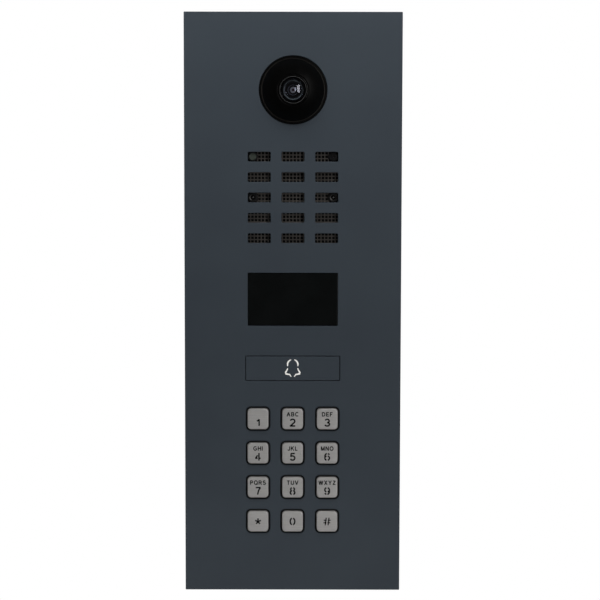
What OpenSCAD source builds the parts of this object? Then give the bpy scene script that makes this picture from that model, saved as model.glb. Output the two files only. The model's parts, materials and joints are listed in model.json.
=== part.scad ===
// Door intercom panel: a video door station with a dome camera, a loudspeaker grille, a display,
// a wide call button and a twelve-key pad, fixed on a surface-mount housing.
// Every module is drawn as the panel is seen from the street: x to the right, y up, z out of the
// wall. placed() turns that into the part's frame, which has +Z up, the front facing -Y and the
// origin in the middle of the housing's back face.

/* [Front plate] */
// Width of the front plate
plate_w = 120; // [112:1:160]
// Height of the front plate
plate_h = 322; // [318:1:420]
// Thickness of the front plate
plate_t = 3; // [2:0.5:4]
// How far the plate stands over the housing on every side
plate_overhang = 2; // [0.5:0.5:3]

/* [Housing] */
// Depth of the housing, from the wall to the front of its flange
housing_d = 34; // [34:1:60]
// Sheet thickness of the housing
housing_wall = 1.5; // [1:0.25:2]
// Outer radius of the housing's upright corners
housing_corner_r = 3; // [2:0.5:5]
// Width of the flange that is turned inwards at the front of the housing
flange_w = 6; // [5:0.5:7]
// Thickness of the foam gasket between housing and plate
gasket_t = 1; // [0.5:0.25:2]
// Diameter of the holes for the wall screws
wall_hole_d = 5.5; // [4:0.5:7]
// Distance between the wall holes, side to side
wall_hole_pitch_x = 80; // [60:1:90]
// Distance between the wall holes, top to bottom
wall_hole_pitch_y = 240; // [160:1:250]
// Diameter of the hole for the cable grommet
grommet_hole_d = 20; // [16:1:26]
// Diameter of the network cable that the grommet seals on
cable_d = 6; // [5:0.5:9]
// Height of the cable entry above the middle of the housing
cable_y = 34; // [24:1:60]

/* [Camera] */
// Distance from the plate's top edge down to the camera's axis
camera_drop = 42.6; // [42:0.1:49]
// Diameter of the bezel where it passes through the plate
bezel_d = 37.2; // [34:0.1:39]
// Diameter of the dome at its foot
dome_d = 34.8; // [31:0.1:35.6]
// Radius of the dome's sphere
dome_r = 21; // [19:0.5:30]
// Diameter of the hole in the top of the dome
dome_hole_d = 16.8; // [15:0.1:18]
// Diameter of the front lens
lens_d = 13.9; // [11:0.1:14.2]
// Travel of the infrared filter across the sensor
filter_travel = 7; // [5:0.5:8]

/* [Loudspeaker grille] */
// Distance from the camera's axis down to the middle of the grille
grille_drop = 59.1; // [58:0.1:65]
// Width of one grille slot
slot_w = 12.6; // [8:0.1:14]
// Height of one grille slot
slot_h = 5.4; // [5.3:0.1:7]
// Distance between slots, side to side
slot_pitch_x = 18.6; // [16:0.1:20]
// Distance between slots, top to bottom
slot_pitch_y = 11.25; // [9:0.05:12]
// Diameter of the loudspeaker's rim
speaker_d = 36.8; // [30:0.2:38]
// Diameter of the perforations in the metal cloth
mesh_hole_d = 1.2; // [0.8:0.1:1.4]

/* [Display] */
// Distance from the middle of the grille down to the middle of the display
display_drop = 56.4; // [54:0.1:62]
// Width of the display opening
display_w = 50; // [36:0.5:54]
// Height of the display opening
display_h = 29.5; // [20:0.5:34]

/* [Call button] */
// Distance from the middle of the display down to the middle of the call button
button_drop = 38.5; // [37:0.1:44]
// Width of the call button
button_w = 52; // [40:0.5:52]
// Height of the call button
button_h = 13.4; // [11:0.1:17]
// Gap between the call button and the plate
button_gap = 0.35; // [0.3:0.05:0.6]
// How far the call button can be pressed
button_travel = 1; // [0.5:0.1:1]

/* [Keypad] */
// Distance from the middle of the call button down to the middle of the keypad
keypad_drop = 57.25; // [56:0.05:63]
// Width and height of one key
key_size = 11.6; // [9:0.1:14]
// Distance between keys
key_pitch = 19.3; // [18:0.1:20]
// Corner radius of a key
key_corner_r = 2; // [1:0.1:3]
// How far the keys stand out of the plate
key_rise = 1.2; // [0.9:0.1:2]
// How far a key can be pressed
key_travel = 0.8; // [0.3:0.1:0.8]
// Gap between a key and its collar
key_gap = 0.25; // [0.2:0.05:0.4]
// Wall thickness of a key's collar
collar_t = 0.6; // [0.4:0.1:0.8]

/* [Rear cover] */
// Depth of the rear cover behind the plate
cover_d = 27; // [26:0.5:27.5]
// Wall thickness of the rear cover
cover_wall = 1.5; // [1:0.25:2]

/* [Hidden] */
$fn = 96;
cut = 1;                        // how far a cutting shape runs past what it cuts
housing_w = plate_w - 2 * plate_overhang;
housing_h = plate_h - 2 * plate_overhang;
opening_w = housing_w - 2 * flange_w;
opening_h = housing_h - 2 * flange_w;
back_z = housing_d + gasket_t;  // the plate's back face
front_z = back_z + plate_t;     // the plate's front face
camera_y = plate_h / 2 - camera_drop;
grille_y = camera_y - grille_drop;
display_y = grille_y - display_drop;
button_y = display_y - button_drop;
keypad_y = button_y - keypad_drop;

// Small clearances and corner radii, shared by many pieces
fit_gap = 0.05;                 // round a thread, which is drawn plain, or a pressed-in piece
opening_corner_r = 1;           // openings and pockets in sheet and mouldings
sheet_corner_r = 2;             // boards, metal cloth, button frame and keypad mat
small_corner_r = 0.5;           // display opening, sensor cavity and tamper switch
chip_corner_r = 0.4;            // display window, image sensor and switch bodies

// Drain slots, gasket and grommet of the housing
drain_x = 14;
drain_z = 5;
drain_w = 12;
drain_h = 2;
gasket_inset = 0.5;
grommet_gap = 0.1;
grommet_recess = 0.3;           // the grommet's back behind the wall face
grommet_lip = 2.5;
grommet_lip_t = 1.8;
sleeve_wall = 1.8;
sleeve_h = 2;

// Fasteners, shared by every piece that they hold
stud_r = 1.5;
stud_hole_r = 1.65;
stud_end = 0.8;                 // thread showing past a nut
nut_h = 2.4;
nut_across = 5.5;

// Security screws in the underside, and what they and the hooks hold on
guard_r = 2;
guard_x = 38;
guard_z = back_z - 8;
guard_head_r = 3.8;
guard_head_h = 1.9;
guard_head_taper = 1;
guard_hole_gap = 0.3;
guard_end = 1.5;                // thread showing past the bracket
recess_depth = 1.3;
recess_r = 1.7;
recess_lobe = 0.3;
recess_pin_r = 0.55;
bracket_inset = 4;              // between the opening's corner and the bracket's end
bracket_foot = 7;
bracket_tail = 6;               // from the screws' axis to the bracket's back edge
bracket_t = 2;
bracket_gap = 1;                // between the flange's edge and the hooks or the bracket
bracket_out = opening_h / 2 - bracket_gap;
hook_x = 30;
hook_w = 16;
hook_foot = 6;                  // length of a hook's welded foot
hook_reach = 3.6;
hook_gap = 0.3;                 // between a hook and the flange it catches behind
hook_z = housing_d - housing_wall - hook_gap - bracket_t;

// Camera stack
bezel_gap = 0.2;
bezel_hole_r = bezel_d / 2 + bezel_gap;
seal_t = 0.6;
seal_w = 3.4;
bezel_flange = 46;
bezel_flange_corner_r = 4;
bezel_flange_t = 2;
bezel_flange_z = back_z - seal_t - bezel_flange_t;
bezel_stud = 19.5;
rim_z = front_z + 0.4;
dome_wall = 2;
dome_centre_z = rim_z - sqrt(dome_r * dome_r - dome_d * dome_d / 4);
dome_top_z = dome_centre_z + sqrt(dome_r * dome_r - dome_hole_d * dome_hole_d / 4);
cavity_r = dome_d / 2 - dome_wall;
lens_gap = 0.1;
ring_r = dome_hole_d / 2 - fit_gap;
ring_lip = 1.3;
ring_lip_h = 1.4;
ring_top_z = dome_top_z + 0.3;
ring_bottom_z = dome_top_z - 4.9;
seat_z = ring_bottom_z + 1;     // the shoulder that the front lens rests on
lens_edge_z = seat_z + 2.8;     // where the lens's barrel wall meets its curved face
lens_face_r = 10.5;
lens_hollow_r = 4.6;
lens_hollow_drop = 0.4;         // from the seat back to the middle of the hollow
barrel_r = lens_d / 2 - 0.85;
barrel_gap = 0.1;
bore_steps = [4.6, 3.6, 2.7];   // stepped throat of the barrel, from the front inwards
bore_step_h = 1.2;
inner_lens_r = 2.05;
inner_lens_t = 1.6;             // thickness of its edge
inner_lens_face_r = 3.2;
inner_lens_rise = 0.8;          // how far its face bulges past its edge
light_path_r = 1.6;
inner_lens_z = seat_z - len(bore_steps) * bore_step_h;
post_at = 13;
post_r = 2.3;
post_hole_h = 8;
camera_board_size = 32;
camera_board_z = back_z - 16;   // front face of the camera board
board_t = 1.6;
holder_size = 16;
holder_h = 11;
holder_bore_r = 4;
barrel_z = camera_board_z + 5;
barrel_end_gap = 0.4;
sensor_cavity_size = 10;
sensor_cavity_h = 2.2;
sensor_package = 8;
sensor_package_t = 0.9;
sensor_die = [6, 5];
sensor_die_t = 0.3;
filter_t = 0.8;
filter_h = 9;
filter_l = 24;
filter_slot_z = camera_board_z + 2.4;
filter_slot_t = 1.4;
filter_gap = 0.3;
filter_z = filter_slot_z + filter_gap;
filter_bore_r = 3.5;
filter_pane_r = 3;
filter_pane_t = 0.6;
camera_screw_r = 1;
camera_screw_l = 6;             // above the camera board
camera_hole_gap = 0.15;
camera_head_r = 2;
camera_head_h = 1.2;

// Grille stack
slot_cols = 3;
slot_rows = 5;
slot_corner_r = 0.7;
mesh_t = 0.6;
mesh_pitch_x = slot_pitch_x / 10;
mesh_pitch_y = slot_pitch_y / 6;
mesh_margin = 4.1;
mesh_w = (slot_cols - 1) * slot_pitch_x + slot_w + 2 * mesh_margin + 2;
mesh_h = (slot_rows - 1) * slot_pitch_y + slot_h + 2 * mesh_margin;
mesh_z = back_z - mesh_t;
speaker_rim_t = 1.4;
sensor_board_z = mesh_z - speaker_rim_t;       // front face of the sensor board
speaker_body_r = speaker_d / 2 - 1.9;
speaker_wall = 1.2;
speaker_ledge = 1.2;            // where the cone's surround is glued to the basket
speaker_gap = 0.2;
basket_h = 9;                   // behind the front of the sensor board
basket_taper = 4;
basket_hollow_taper = 6.2;
magnet_r = speaker_body_r - 6;
magnet_h = 6;
pole_r = 5;
pole_h = 2.4;
sensor_stud_x = mesh_w / 2 - 3;
sensor_stud_y = mesh_h / 2 - 3;
device_gap = 0.15;
device_r = slot_h / 2 - device_gap;            // a device fills its slot's rounded end
device_hole_r = slot_h / 2;
device_x = (slot_cols - 1) / 2 * slot_pitch_x + slot_w / 2 - slot_h / 2;
collar_bore_r = 1.8;
device_top_z = front_z - 1.3;
mesh_web = 0.15;                // metal left between a perforation and a device's hole
led_r = 1.5;
led_h = 2.4;
led_foot = 0.2;
led_foot_h = 0.8;
light_sensor_gap = 0.1;
light_sensor_h = 2.8;
light_window_inset = 0.3;
light_window_t = 0.3;
mic_r = 2;
mic_h = 1.8;
mic_port_r = 0.5;

// Display stack
window_gap = 0.2;
window_recess = 0.3;
window_lip = 2.5;
window_lip_t = 1.6;
panel_t = 2.4;
panel_margin_x = 1.5;
panel_margin_y = 2;
panel_corner_r = 0.8;
bracket_wall = 1.6;
bracket_z = back_z - window_lip_t - panel_t - bracket_wall;
bracket_rim_x = 7;              // from the display's edge to the opening in the bracket's back
bracket_rim_y = 5;
display_ear_r = 3.6;
display_stud_x = display_w / 2 + 9;
display_stud_y = display_h / 2 - 4;

// Call button and keypad stack
button_corner_r = 0.4;
button_hole_corner_r = 0.6;
frame_t = 2;
frame_w = 70;
frame_margin = 11.4;
frame_top = button_y + button_h / 2 + 5;
frame_bottom = keypad_y - 1.5 * key_pitch - frame_margin;
frame_h = frame_top - frame_bottom;
frame_y = (frame_top + frame_bottom) / 2;
frame_rim_t = 1.6;
frame_stud_x = 31.1;
frame_stud_ys = [frame_top - 4, button_y - button_h / 2 - 7, frame_bottom + 5];
carrier_t = 1.6;
carrier_lip = 2.5;
carrier_gap = 0.5;
carrier_top_z = back_z - 0.4;
window_size = 12;               // the carrier's window for the light guide
window_corner_r = 0.6;
light_gap = 0.1;
guide_root = 0.4;               // how far the bell's strokes run into their base
spring_x = 22;
spring_r = 1.7;
spring_wire_r = 0.25;
spring_turns = 4;
spring_seat = 0.4;
spring_gap = 0.3;
switch_size = 6;
switch_h = 2.2;
switch_stem_r = 1.6;
switch_gap = 0.1;               // left over the switch when the button is right in
collar_size = key_size + 2 * key_gap + 2 * collar_t;
key_hole = collar_size + 0.3;
collar_top_z = front_z - 0.6;
key_top_z = front_z + key_rise;
key_skin = 1;
key_wall = 1.2;
key_bore = key_size - 2 * key_wall;
key_flange = key_size + 1.6;
key_flange_t = 1;
key_flange_gap = 0.3;           // between a key's flange and the button frame
key_flange_z = back_z - frame_t - key_flange_gap - key_flange_t;
key_bed = 2.3;                  // room left under a key's flange when it is right in
keypad_board_z = key_flange_z - key_travel - key_bed;   // front face of the keypad board
mat_t = 1.2;
mat_gap = 0.3;

// Main board and rear cover
spacer_h = 5.4;                 // hexagonal spacers between keypad board and main board
main_board_z = keypad_board_z - board_t - spacer_h;
main_board_w = 76;
main_board_top = display_y + 16;
main_board_bottom = frame_bottom + 2;
main_board_h = main_board_top - main_board_bottom;
main_board_y = (main_board_top + main_board_bottom) / 2;
main_board_back = main_board_z - board_t;
shield_y = keypad_y + 12;
shield_size = 30;
shield_h = 3;
terminal_w = 42;
terminal_h = 12;
terminal_y = display_y - 12;
terminal_ways = 8;
terminal_pitch = 5;
terminal_corner_r = 0.6;
terminal_well = 3;              // depth of the wells that the screws stand in
terminal_gap = 0.1;
terminal_screw_y = 1;
terminal_screw_r = 1.8;
terminal_screw_h = 2;
terminal_slot_w = 0.5;
terminal_slot_depth = 0.6;
wire_hole_r = 1.4;
wire_hole_l = 5;
wire_hole_z = 7;                // above the block's back face
cover_z = back_z - cover_d;     // back face of the rear cover
terminal_z = cover_z + 0.5;
cover_w = opening_w - 4;
cover_margin = 3.6;             // between the cover's edge and the camera's or keypad's
cover_top = camera_y + bezel_flange / 2 + cover_margin;
cover_foot = 6;                 // room left below the button frame
cover_bottom = frame_bottom - cover_margin - cover_foot;
cover_corner_r = 3;
cover_hollow_corner_r = 2;
cover_hole_w = terminal_w + 2;  // opening for the terminals and the cable
cover_hole_top = cable_y + grommet_hole_d / 2 + 3;
cover_hole_bottom = terminal_y - terminal_h / 2 - 5;
cover_stud_x = cover_w / 2 - 6;
cover_stud_ys = [cover_top - 10, cover_bottom + 8];
tamper_x = 27;
tamper_y = keypad_y + 53;
tamper_r = 1.5;
tamper_size = 7;
tamper_h = 5;
tamper_travel = 0.5;
tamper_gap = 0.1;
tamper_floor = 1;
tamper_end_gap = 0.2;
tamper_hole_gap = 0.7;

paint = [0.22, 0.24, 0.26];
black = [0.05, 0.05, 0.05];
steel = [0.62, 0.61, 0.60];
board = [0.05, 0.25, 0.14];

key_names = ["1", "2", "3", "4", "5", "6", "7", "8", "9", "star", "0", "hash"];

// ---- Shared shapes ----

module placed() rotate([90, 0, 0]) children();

function arc(x, y, r, from, to, steps = 8) =
    [for (i = [0:steps]) let (a = from + (to - from) * i / steps) [x + r * cos(a), y + r * sin(a)]];

function rounded(w, h, r) = concat(
    arc(w / 2 - r, h / 2 - r, r, 0, 90), arc(r - w / 2, h / 2 - r, r, 90, 180),
    arc(r - w / 2, r - h / 2, r, 180, 270), arc(w / 2 - r, r - h / 2, r, 270, 360));

// A rounded block between two depths
module slab(w, h, r, from, to)
    translate([0, 0, from]) linear_extrude(to - from) polygon(rounded(w, h, r));

// A round bar between two depths
module bar(r, from, to) translate([0, 0, from]) cylinder(r = r, h = to - from);

// Children at the four corners of a rectangle
module corners(x, y) for (sx = [-1, 1], sy = [-1, 1]) translate([sx * x, sy * y, 0]) children();

function key_x(i) = (i % 3 - 1) * key_pitch;
function key_y(i) = keypad_y + (1.5 - floor(i / 3)) * key_pitch;

function slot_x(c) = (c - (slot_cols - 1) / 2) * slot_pitch_x;
function slot_y(r) = grille_y + ((slot_rows - 1) / 2 - r) * slot_pitch_y;
device_places = [[-device_x, slot_y(0)], [-device_x, slot_y(2)], [device_x, slot_y(2)]];
led_places = [[-device_x, slot_y(2)], [device_x, slot_y(2)]];
mic_place = [device_x, slot_y(0)];

// The outline of a line of even width drawn along points
function unit(v) = v / norm(v);
function side(p, i) = let (
    last = len(p) - 1,
    before = unit(i == 0 ? p[1] - p[0] : p[i] - p[i - 1]),
    after = unit(i == last ? p[last] - p[last - 1] : p[i + 1] - p[i]),
    along = unit(before + after)) [-along[1], along[0]] / max(before * along, 0.6);
function stroke(p, w) = concat(
    [for (i = [0:len(p) - 1]) p[i] + side(p, i) * w / 2],
    [for (i = [len(p) - 1:-1:0]) p[i] - side(p, i) * w / 2]);

// A generic bell, drawn as four strokes so that a plate pierced with it stays in one piece
bell_crown = arc(0, 2, 2.9, 107, 196);
bell_skirt = [[-2.75, 0.1], [-3.1, -0.95], [-3.95, -2.2], [-3.75, -3.1], [-2.7, -3.3],
              [-1.75, -3.45], [-0.85, -4.75]];
module bell(w) for (line = [bell_crown, bell_skirt], flip = [1, -1])
    polygon([for (q = stroke(line, w)) [flip * q[0], q[1]]]);
bell_line = 0.95;

// ---- Housing ----

module housing() color(paint) placed() difference() {
    slab(housing_w, housing_h, housing_corner_r, 0, housing_d);
    slab(housing_w - 2 * housing_wall, housing_h - 2 * housing_wall,
         housing_corner_r - housing_wall / 2, housing_wall, housing_d - housing_wall);
    slab(opening_w, opening_h, opening_corner_r, housing_d - housing_wall - cut,
         housing_d + cut);
    corners(wall_hole_pitch_x / 2, wall_hole_pitch_y / 2)
        bar(wall_hole_d / 2, -cut, housing_wall + cut);
    translate([0, cable_y, 0]) bar(grommet_hole_d / 2, -cut, housing_wall + cut);
    for (s = [-1, 1]) {
        // security screws and drain slots in the underside
        translate([s * guard_x, housing_wall - housing_h / 2 + cut, guard_z]) rotate([90, 0, 0])
            cylinder(r = guard_r + guard_hole_gap, h = housing_wall + 2 * cut);
        translate([s * drain_x - drain_w / 2, -housing_h / 2 - cut, drain_z])
            cube([drain_w, housing_wall + 2 * cut, drain_h]);
    }
}

module housing_gasket() color(black) placed() difference() {
    slab(housing_w - 2 * gasket_inset, housing_h - 2 * gasket_inset, housing_corner_r,
         housing_d, back_z);
    slab(opening_w + 2 * gasket_inset, opening_h + 2 * gasket_inset,
         opening_corner_r + gasket_inset, housing_d - cut, back_z + cut);
}

module cable_grommet() color(black) placed() translate([0, cable_y, 0]) difference() {
    union() {
        bar(grommet_hole_d / 2 - grommet_gap, grommet_recess, housing_wall);
        bar(grommet_hole_d / 2 + grommet_lip, housing_wall, housing_wall + grommet_lip_t);
        bar(cable_d / 2 + sleeve_wall, housing_wall + grommet_lip_t,
            housing_wall + grommet_lip_t + sleeve_h);
    }
    bar(cable_d / 2, -cut, back_z);
}

// ---- Front plate and its fixings ----

module front_plate() color(paint) placed() translate([0, 0, back_z]) linear_extrude(plate_t)
    difference() {
        square([plate_w, plate_h], center = true);
        translate([0, camera_y]) circle(r = bezel_hole_r);
        for (c = [0:slot_cols - 1], r = [0:slot_rows - 1])
            translate([slot_x(c), slot_y(r)]) polygon(rounded(slot_w, slot_h, slot_corner_r));
        translate([0, display_y]) polygon(rounded(display_w, display_h, small_corner_r));
        translate([0, button_y])
            polygon(rounded(button_w + 2 * button_gap, button_h + 2 * button_gap,
                            button_hole_corner_r));
        for (i = [0:11]) translate([key_x(i), key_y(i)])
            polygon(rounded(key_hole, key_hole, key_corner_r + key_gap + collar_t));
    }

module top_hooks() color(steel) placed() for (s = [-1, 1])
    translate([s * hook_x - hook_w / 2, bracket_out - hook_foot, 0]) union() {
        translate([0, 0, back_z - bracket_t]) cube([hook_w, hook_foot, bracket_t]);
        translate([0, hook_foot - bracket_t, hook_z]) cube([hook_w, bracket_t, back_z - hook_z]);
        translate([0, hook_foot - bracket_t, hook_z])
            cube([hook_w, bracket_t + hook_reach, bracket_t]);
    }

module bottom_bracket() color(steel) placed() difference() {
    union() {
        translate([bracket_inset - opening_w / 2, -bracket_out, back_z - bracket_t])
            cube([opening_w - 2 * bracket_inset, bracket_foot, bracket_t]);
        translate([bracket_inset - opening_w / 2, -bracket_out, guard_z - bracket_tail])
            cube([opening_w - 2 * bracket_inset, bracket_t, back_z - guard_z + bracket_tail]);
    }
    for (s = [-1, 1]) translate([s * guard_x, bracket_t - bracket_out + cut, guard_z])
        rotate([90, 0, 0]) cylinder(r = guard_r + fit_gap, h = bracket_t + 2 * cut);
}

// Six-lobed recess with a centre pin, as on a tamper-proof screw
function lobes(r, depth) = [for (a = [0:10:350]) (r + depth * cos(6 * a)) * [cos(a), sin(a)]];

module security_screw() difference() {
    union() {
        cylinder(r = guard_r, h = housing_h / 2 - bracket_out + bracket_t + guard_end);
        translate([0, 0, -guard_head_h])
            cylinder(r1 = guard_head_r - guard_head_taper, r2 = guard_head_r, h = guard_head_h);
    }
    translate([0, 0, -guard_head_h - cut]) linear_extrude(recess_depth + cut) difference() {
        polygon(lobes(recess_r, recess_lobe));
        circle(r = recess_pin_r);
    }
}

module security_screws() color(steel) placed() for (s = [-1, 1])
    translate([s * guard_x, -housing_h / 2, guard_z]) rotate([-90, 0, 0]) security_screw();

// Every group of studs, and the places in it

module at_studs(kind) {
    if (kind == "camera") translate([0, camera_y, 0]) corners(bezel_stud, bezel_stud) children();
    if (kind == "sensor") translate([0, grille_y, 0]) corners(sensor_stud_x, sensor_stud_y) children();
    if (kind == "display") translate([0, display_y, 0])
        corners(display_stud_x, display_stud_y) children();
    if (kind == "frame") for (s = [-1, 1], y = frame_stud_ys)
        translate([s * frame_stud_x, y, 0]) children();
    if (kind == "cover") for (s = [-1, 1], y = cover_stud_ys)
        translate([s * cover_stud_x, y, 0]) children();
}

// What is threaded on them: the group, the face that it bears on, and its height
nuts = [["camera", bezel_flange_z, nut_h], ["sensor", sensor_board_z - board_t, nut_h],
        ["display", back_z - frame_t, nut_h], ["frame", keypad_board_z - board_t, spacer_h],
        ["frame", main_board_back, nut_h], ["cover", cover_z, nut_h]];

module plate_studs() color(steel) placed() for (n = nuts) if (n[2] == nut_h)
    at_studs(n[0]) bar(stud_r, n[1] - nut_h - stud_end, back_z);

module stud_nuts() color(steel) placed() for (n = nuts) at_studs(n[0]) difference() {
    translate([0, 0, n[1] - n[2]]) cylinder(r = nut_across / sqrt(3), h = n[2], $fn = 6);
    bar(stud_r + fit_gap, n[1] - n[2] - cut, n[1] + cut);
}

// ---- Camera ----

module camera_bezel() color(black) placed() translate([0, camera_y, 0]) difference() {
    union() {
        slab(bezel_flange, bezel_flange, bezel_flange_corner_r, bezel_flange_z,
             bezel_flange_z + bezel_flange_t);
        bar(bezel_d / 2, bezel_flange_z, rim_z);
        intersection() {
            translate([0, 0, dome_centre_z]) sphere(r = dome_r);
            bar(dome_d / 2, rim_z - cut, rim_z + dome_r);
        }
        corners(post_at, post_at) bar(post_r, camera_board_z, bezel_flange_z + cut);
    }
    intersection() {
        translate([0, 0, dome_centre_z]) sphere(r = dome_r - dome_wall);
        bar(cavity_r, bezel_flange_z - cut, rim_z + dome_r);
    }
    bar(cavity_r, bezel_flange_z - cut, rim_z - dome_wall);
    bar(dome_hole_d / 2, rim_z, rim_z + dome_r);
    corners(bezel_stud, bezel_stud) bar(stud_hole_r, bezel_flange_z - cut, back_z);
    corners(post_at, post_at)
        bar(camera_screw_r + fit_gap, camera_board_z - cut, camera_board_z + post_hole_h);
}

module bezel_seal() color(black) placed() translate([0, camera_y, 0]) difference() {
    bar(bezel_d / 2 + seal_w, back_z - seal_t, back_z);
    bar(bezel_d / 2, back_z - seal_t - cut, back_z + cut);
}

module lens_ring() color(black) placed() translate([0, camera_y, 0]) difference() {
    union() {
        bar(ring_r, ring_bottom_z, ring_top_z);
        bar(ring_r + ring_lip, ring_bottom_z, ring_bottom_z + ring_lip_h);
    }
    bar(lens_d / 2 + lens_gap, seat_z, ring_top_z + cut);
    bar(barrel_r + barrel_gap, ring_bottom_z - cut, seat_z + cut);
}

module front_lens() color([0.55, 0.6, 0.62, 0.4]) placed() translate([0, camera_y, 0])
    difference() {
        union() {
            bar(lens_d / 2, seat_z, lens_edge_z);
            intersection() {
                translate([0, 0, lens_edge_z - sqrt(lens_face_r * lens_face_r - lens_d * lens_d / 4)])
                    sphere(r = lens_face_r);
                bar(lens_d / 2, lens_edge_z - cut, lens_edge_z + lens_face_r);
            }
        }
        translate([0, 0, seat_z - lens_hollow_drop]) sphere(r = lens_hollow_r);
    }

module inner_lens() color([0.5, 0.45, 0.6, 0.5]) placed() translate([0, camera_y, 0])
    intersection() {
        bar(inner_lens_r, inner_lens_z - inner_lens_t, inner_lens_z + inner_lens_rise + cut);
        translate([0, 0, inner_lens_z + inner_lens_rise - inner_lens_face_r])
            sphere(r = inner_lens_face_r);
    }

module lens_barrel() color(black) placed() translate([0, camera_y, 0]) difference() {
    bar(barrel_r, barrel_z, seat_z);
    for (i = [0:len(bore_steps) - 1])
        bar(bore_steps[i], seat_z - (i + 1) * bore_step_h, seat_z - i * bore_step_h + cut);
    bar(inner_lens_r + fit_gap, inner_lens_z - inner_lens_t, inner_lens_z + cut);
    bar(light_path_r, barrel_z - cut, inner_lens_z);
}

module lens_holder() color(black) placed() translate([0, camera_y, 0]) difference() {
    slab(holder_size, holder_size, opening_corner_r, camera_board_z, camera_board_z + holder_h);
    bar(barrel_r + fit_gap, barrel_z - barrel_end_gap, camera_board_z + holder_h + cut);
    bar(holder_bore_r, filter_slot_z, barrel_z);
    slab(sensor_cavity_size, sensor_cavity_size, small_corner_r, camera_board_z - cut,
         camera_board_z + sensor_cavity_h);
    bar(filter_bore_r, camera_board_z, filter_slot_z + cut);
    translate([-holder_size, -filter_h / 2 - filter_gap, filter_slot_z])
        cube([2 * holder_size, filter_h + 2 * filter_gap, filter_slot_t]);
}

module ir_cut_filter() color([0.2, 0.5, 0.45]) placed()
    translate([-filter_travel / 2, camera_y, 0]) difference() {
        slab(filter_l, filter_h, opening_corner_r, filter_z, filter_z + filter_t);
        for (s = [-1, 1]) translate([s * filter_travel / 2, 0, 0])
            bar(filter_pane_r, filter_z + filter_pane_t, filter_z + filter_t + cut);
    }

module camera_board() color(board) placed() translate([0, camera_y, 0]) difference() {
    slab(camera_board_size, camera_board_size, sheet_corner_r, camera_board_z - board_t,
         camera_board_z);
    corners(post_at, post_at)
        bar(camera_screw_r + camera_hole_gap, camera_board_z - board_t - cut, camera_board_z + cut);
}

module image_sensor() color([0.1, 0.1, 0.12]) placed() translate([0, camera_y, 0]) union() {
    slab(sensor_package, sensor_package, chip_corner_r, camera_board_z,
         camera_board_z + sensor_package_t);
    slab(sensor_die[0], sensor_die[1], chip_corner_r / 2, camera_board_z + sensor_package_t,
         camera_board_z + sensor_package_t + sensor_die_t);
}

module camera_screws() color(steel) placed() translate([0, camera_y, 0])
    corners(post_at, post_at) union() {
        bar(camera_screw_r, camera_board_z - board_t, camera_board_z + camera_screw_l);
        bar(camera_head_r, camera_board_z - board_t - camera_head_h, camera_board_z - board_t);
    }

// ---- Grille, loudspeaker, lights and sensors ----

// The perforations that can be seen through one slot, left out where a device stands
function slot_holes(c, r) = [
    for (i = [-3:3], k = [-1:1])
        let (p = [slot_x(c) + i * mesh_pitch_x, slot_y(r) + k * mesh_pitch_y])
        if (min([for (d = concat(device_places, [mic_place])) norm(p - d)])
            > device_hole_r + mesh_hole_d / 2 + mesh_web) p];

module grille_mesh() color([0.24, 0.23, 0.22]) placed() translate([0, 0, mesh_z])
    linear_extrude(mesh_t) difference() {
        translate([0, grille_y]) polygon(rounded(mesh_w, mesh_h, sheet_corner_r));
        for (c = [0:slot_cols - 1], r = [0:slot_rows - 1], p = slot_holes(c, r))
            translate(p) circle(d = mesh_hole_d, $fn = 24);
        for (p = concat(device_places, [mic_place])) translate(p) circle(r = device_hole_r);
        translate([0, grille_y]) for (sx = [-1, 1], sy = [-1, 1])
            translate([sx * sensor_stud_x, sy * sensor_stud_y]) circle(r = stud_hole_r);
    }

module speaker_basket() color(black) placed() translate([0, grille_y, 0]) difference() {
    union() {
        bar(speaker_d / 2, sensor_board_z, mesh_z);
        translate([0, 0, sensor_board_z - basket_h])
            cylinder(r1 = speaker_body_r - basket_taper, r2 = speaker_body_r, h = basket_h);
    }
    translate([0, 0, sensor_board_z - basket_h + speaker_wall])
        cylinder(r1 = speaker_body_r - basket_hollow_taper,
                 r2 = speaker_body_r - speaker_wall - speaker_ledge, h = basket_h - speaker_wall);
    bar(speaker_body_r - speaker_wall, sensor_board_z, mesh_z + cut);
    bar(pole_r + speaker_gap, sensor_board_z - basket_h - cut, sensor_board_z);
}

module speaker_cone() color([0.12, 0.12, 0.12]) placed()
    translate([0, grille_y, sensor_board_z]) rotate_extrude()
        polygon([[0, -3.6], [3.5, -4.4], [4.4, -5.4], [speaker_body_r - 3.4, -0.4],
                 [speaker_body_r - speaker_wall - speaker_ledge, 0],
                 [speaker_body_r - speaker_wall, 0], [speaker_body_r - speaker_wall, 0.5],
                 [speaker_body_r - 3.8, 0.4], [4.6, -4.4], [3.4, -3.4], [0, -2.6]]);

module speaker_magnet() color(steel) placed() translate([0, grille_y, sensor_board_z]) union() {
    bar(magnet_r, -basket_h - magnet_h, -basket_h);
    bar(pole_r, -basket_h, pole_h - basket_h);
}

module ir_leds() color([0.75, 0.78, 0.8, 0.6]) placed() for (p = led_places)
    translate([p[0], p[1], sensor_board_z]) union() {
        bar(led_r + led_foot, 0, led_foot_h);
        bar(led_r, 0, led_h);
        translate([0, 0, led_h]) sphere(r = led_r);
    }

module device_collars() color(black) placed() for (p = device_places)
    translate([p[0], p[1], 0]) difference() {
        bar(device_r, sensor_board_z, device_top_z);
        bar(collar_bore_r, sensor_board_z - cut, device_top_z + cut);
    }

module light_sensor() color([0.3, 0.34, 0.31]) placed()
    translate([device_places[0][0], device_places[0][1], sensor_board_z]) union() {
        bar(collar_bore_r - light_sensor_gap, 0, light_sensor_h);
        bar(collar_bore_r - light_sensor_gap - light_window_inset, light_sensor_h,
            light_sensor_h + light_window_t);
    }

module microphone() color(steel) placed()
    translate([mic_place[0], mic_place[1], 0]) bar(mic_r, sensor_board_z, sensor_board_z + mic_h);

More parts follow.
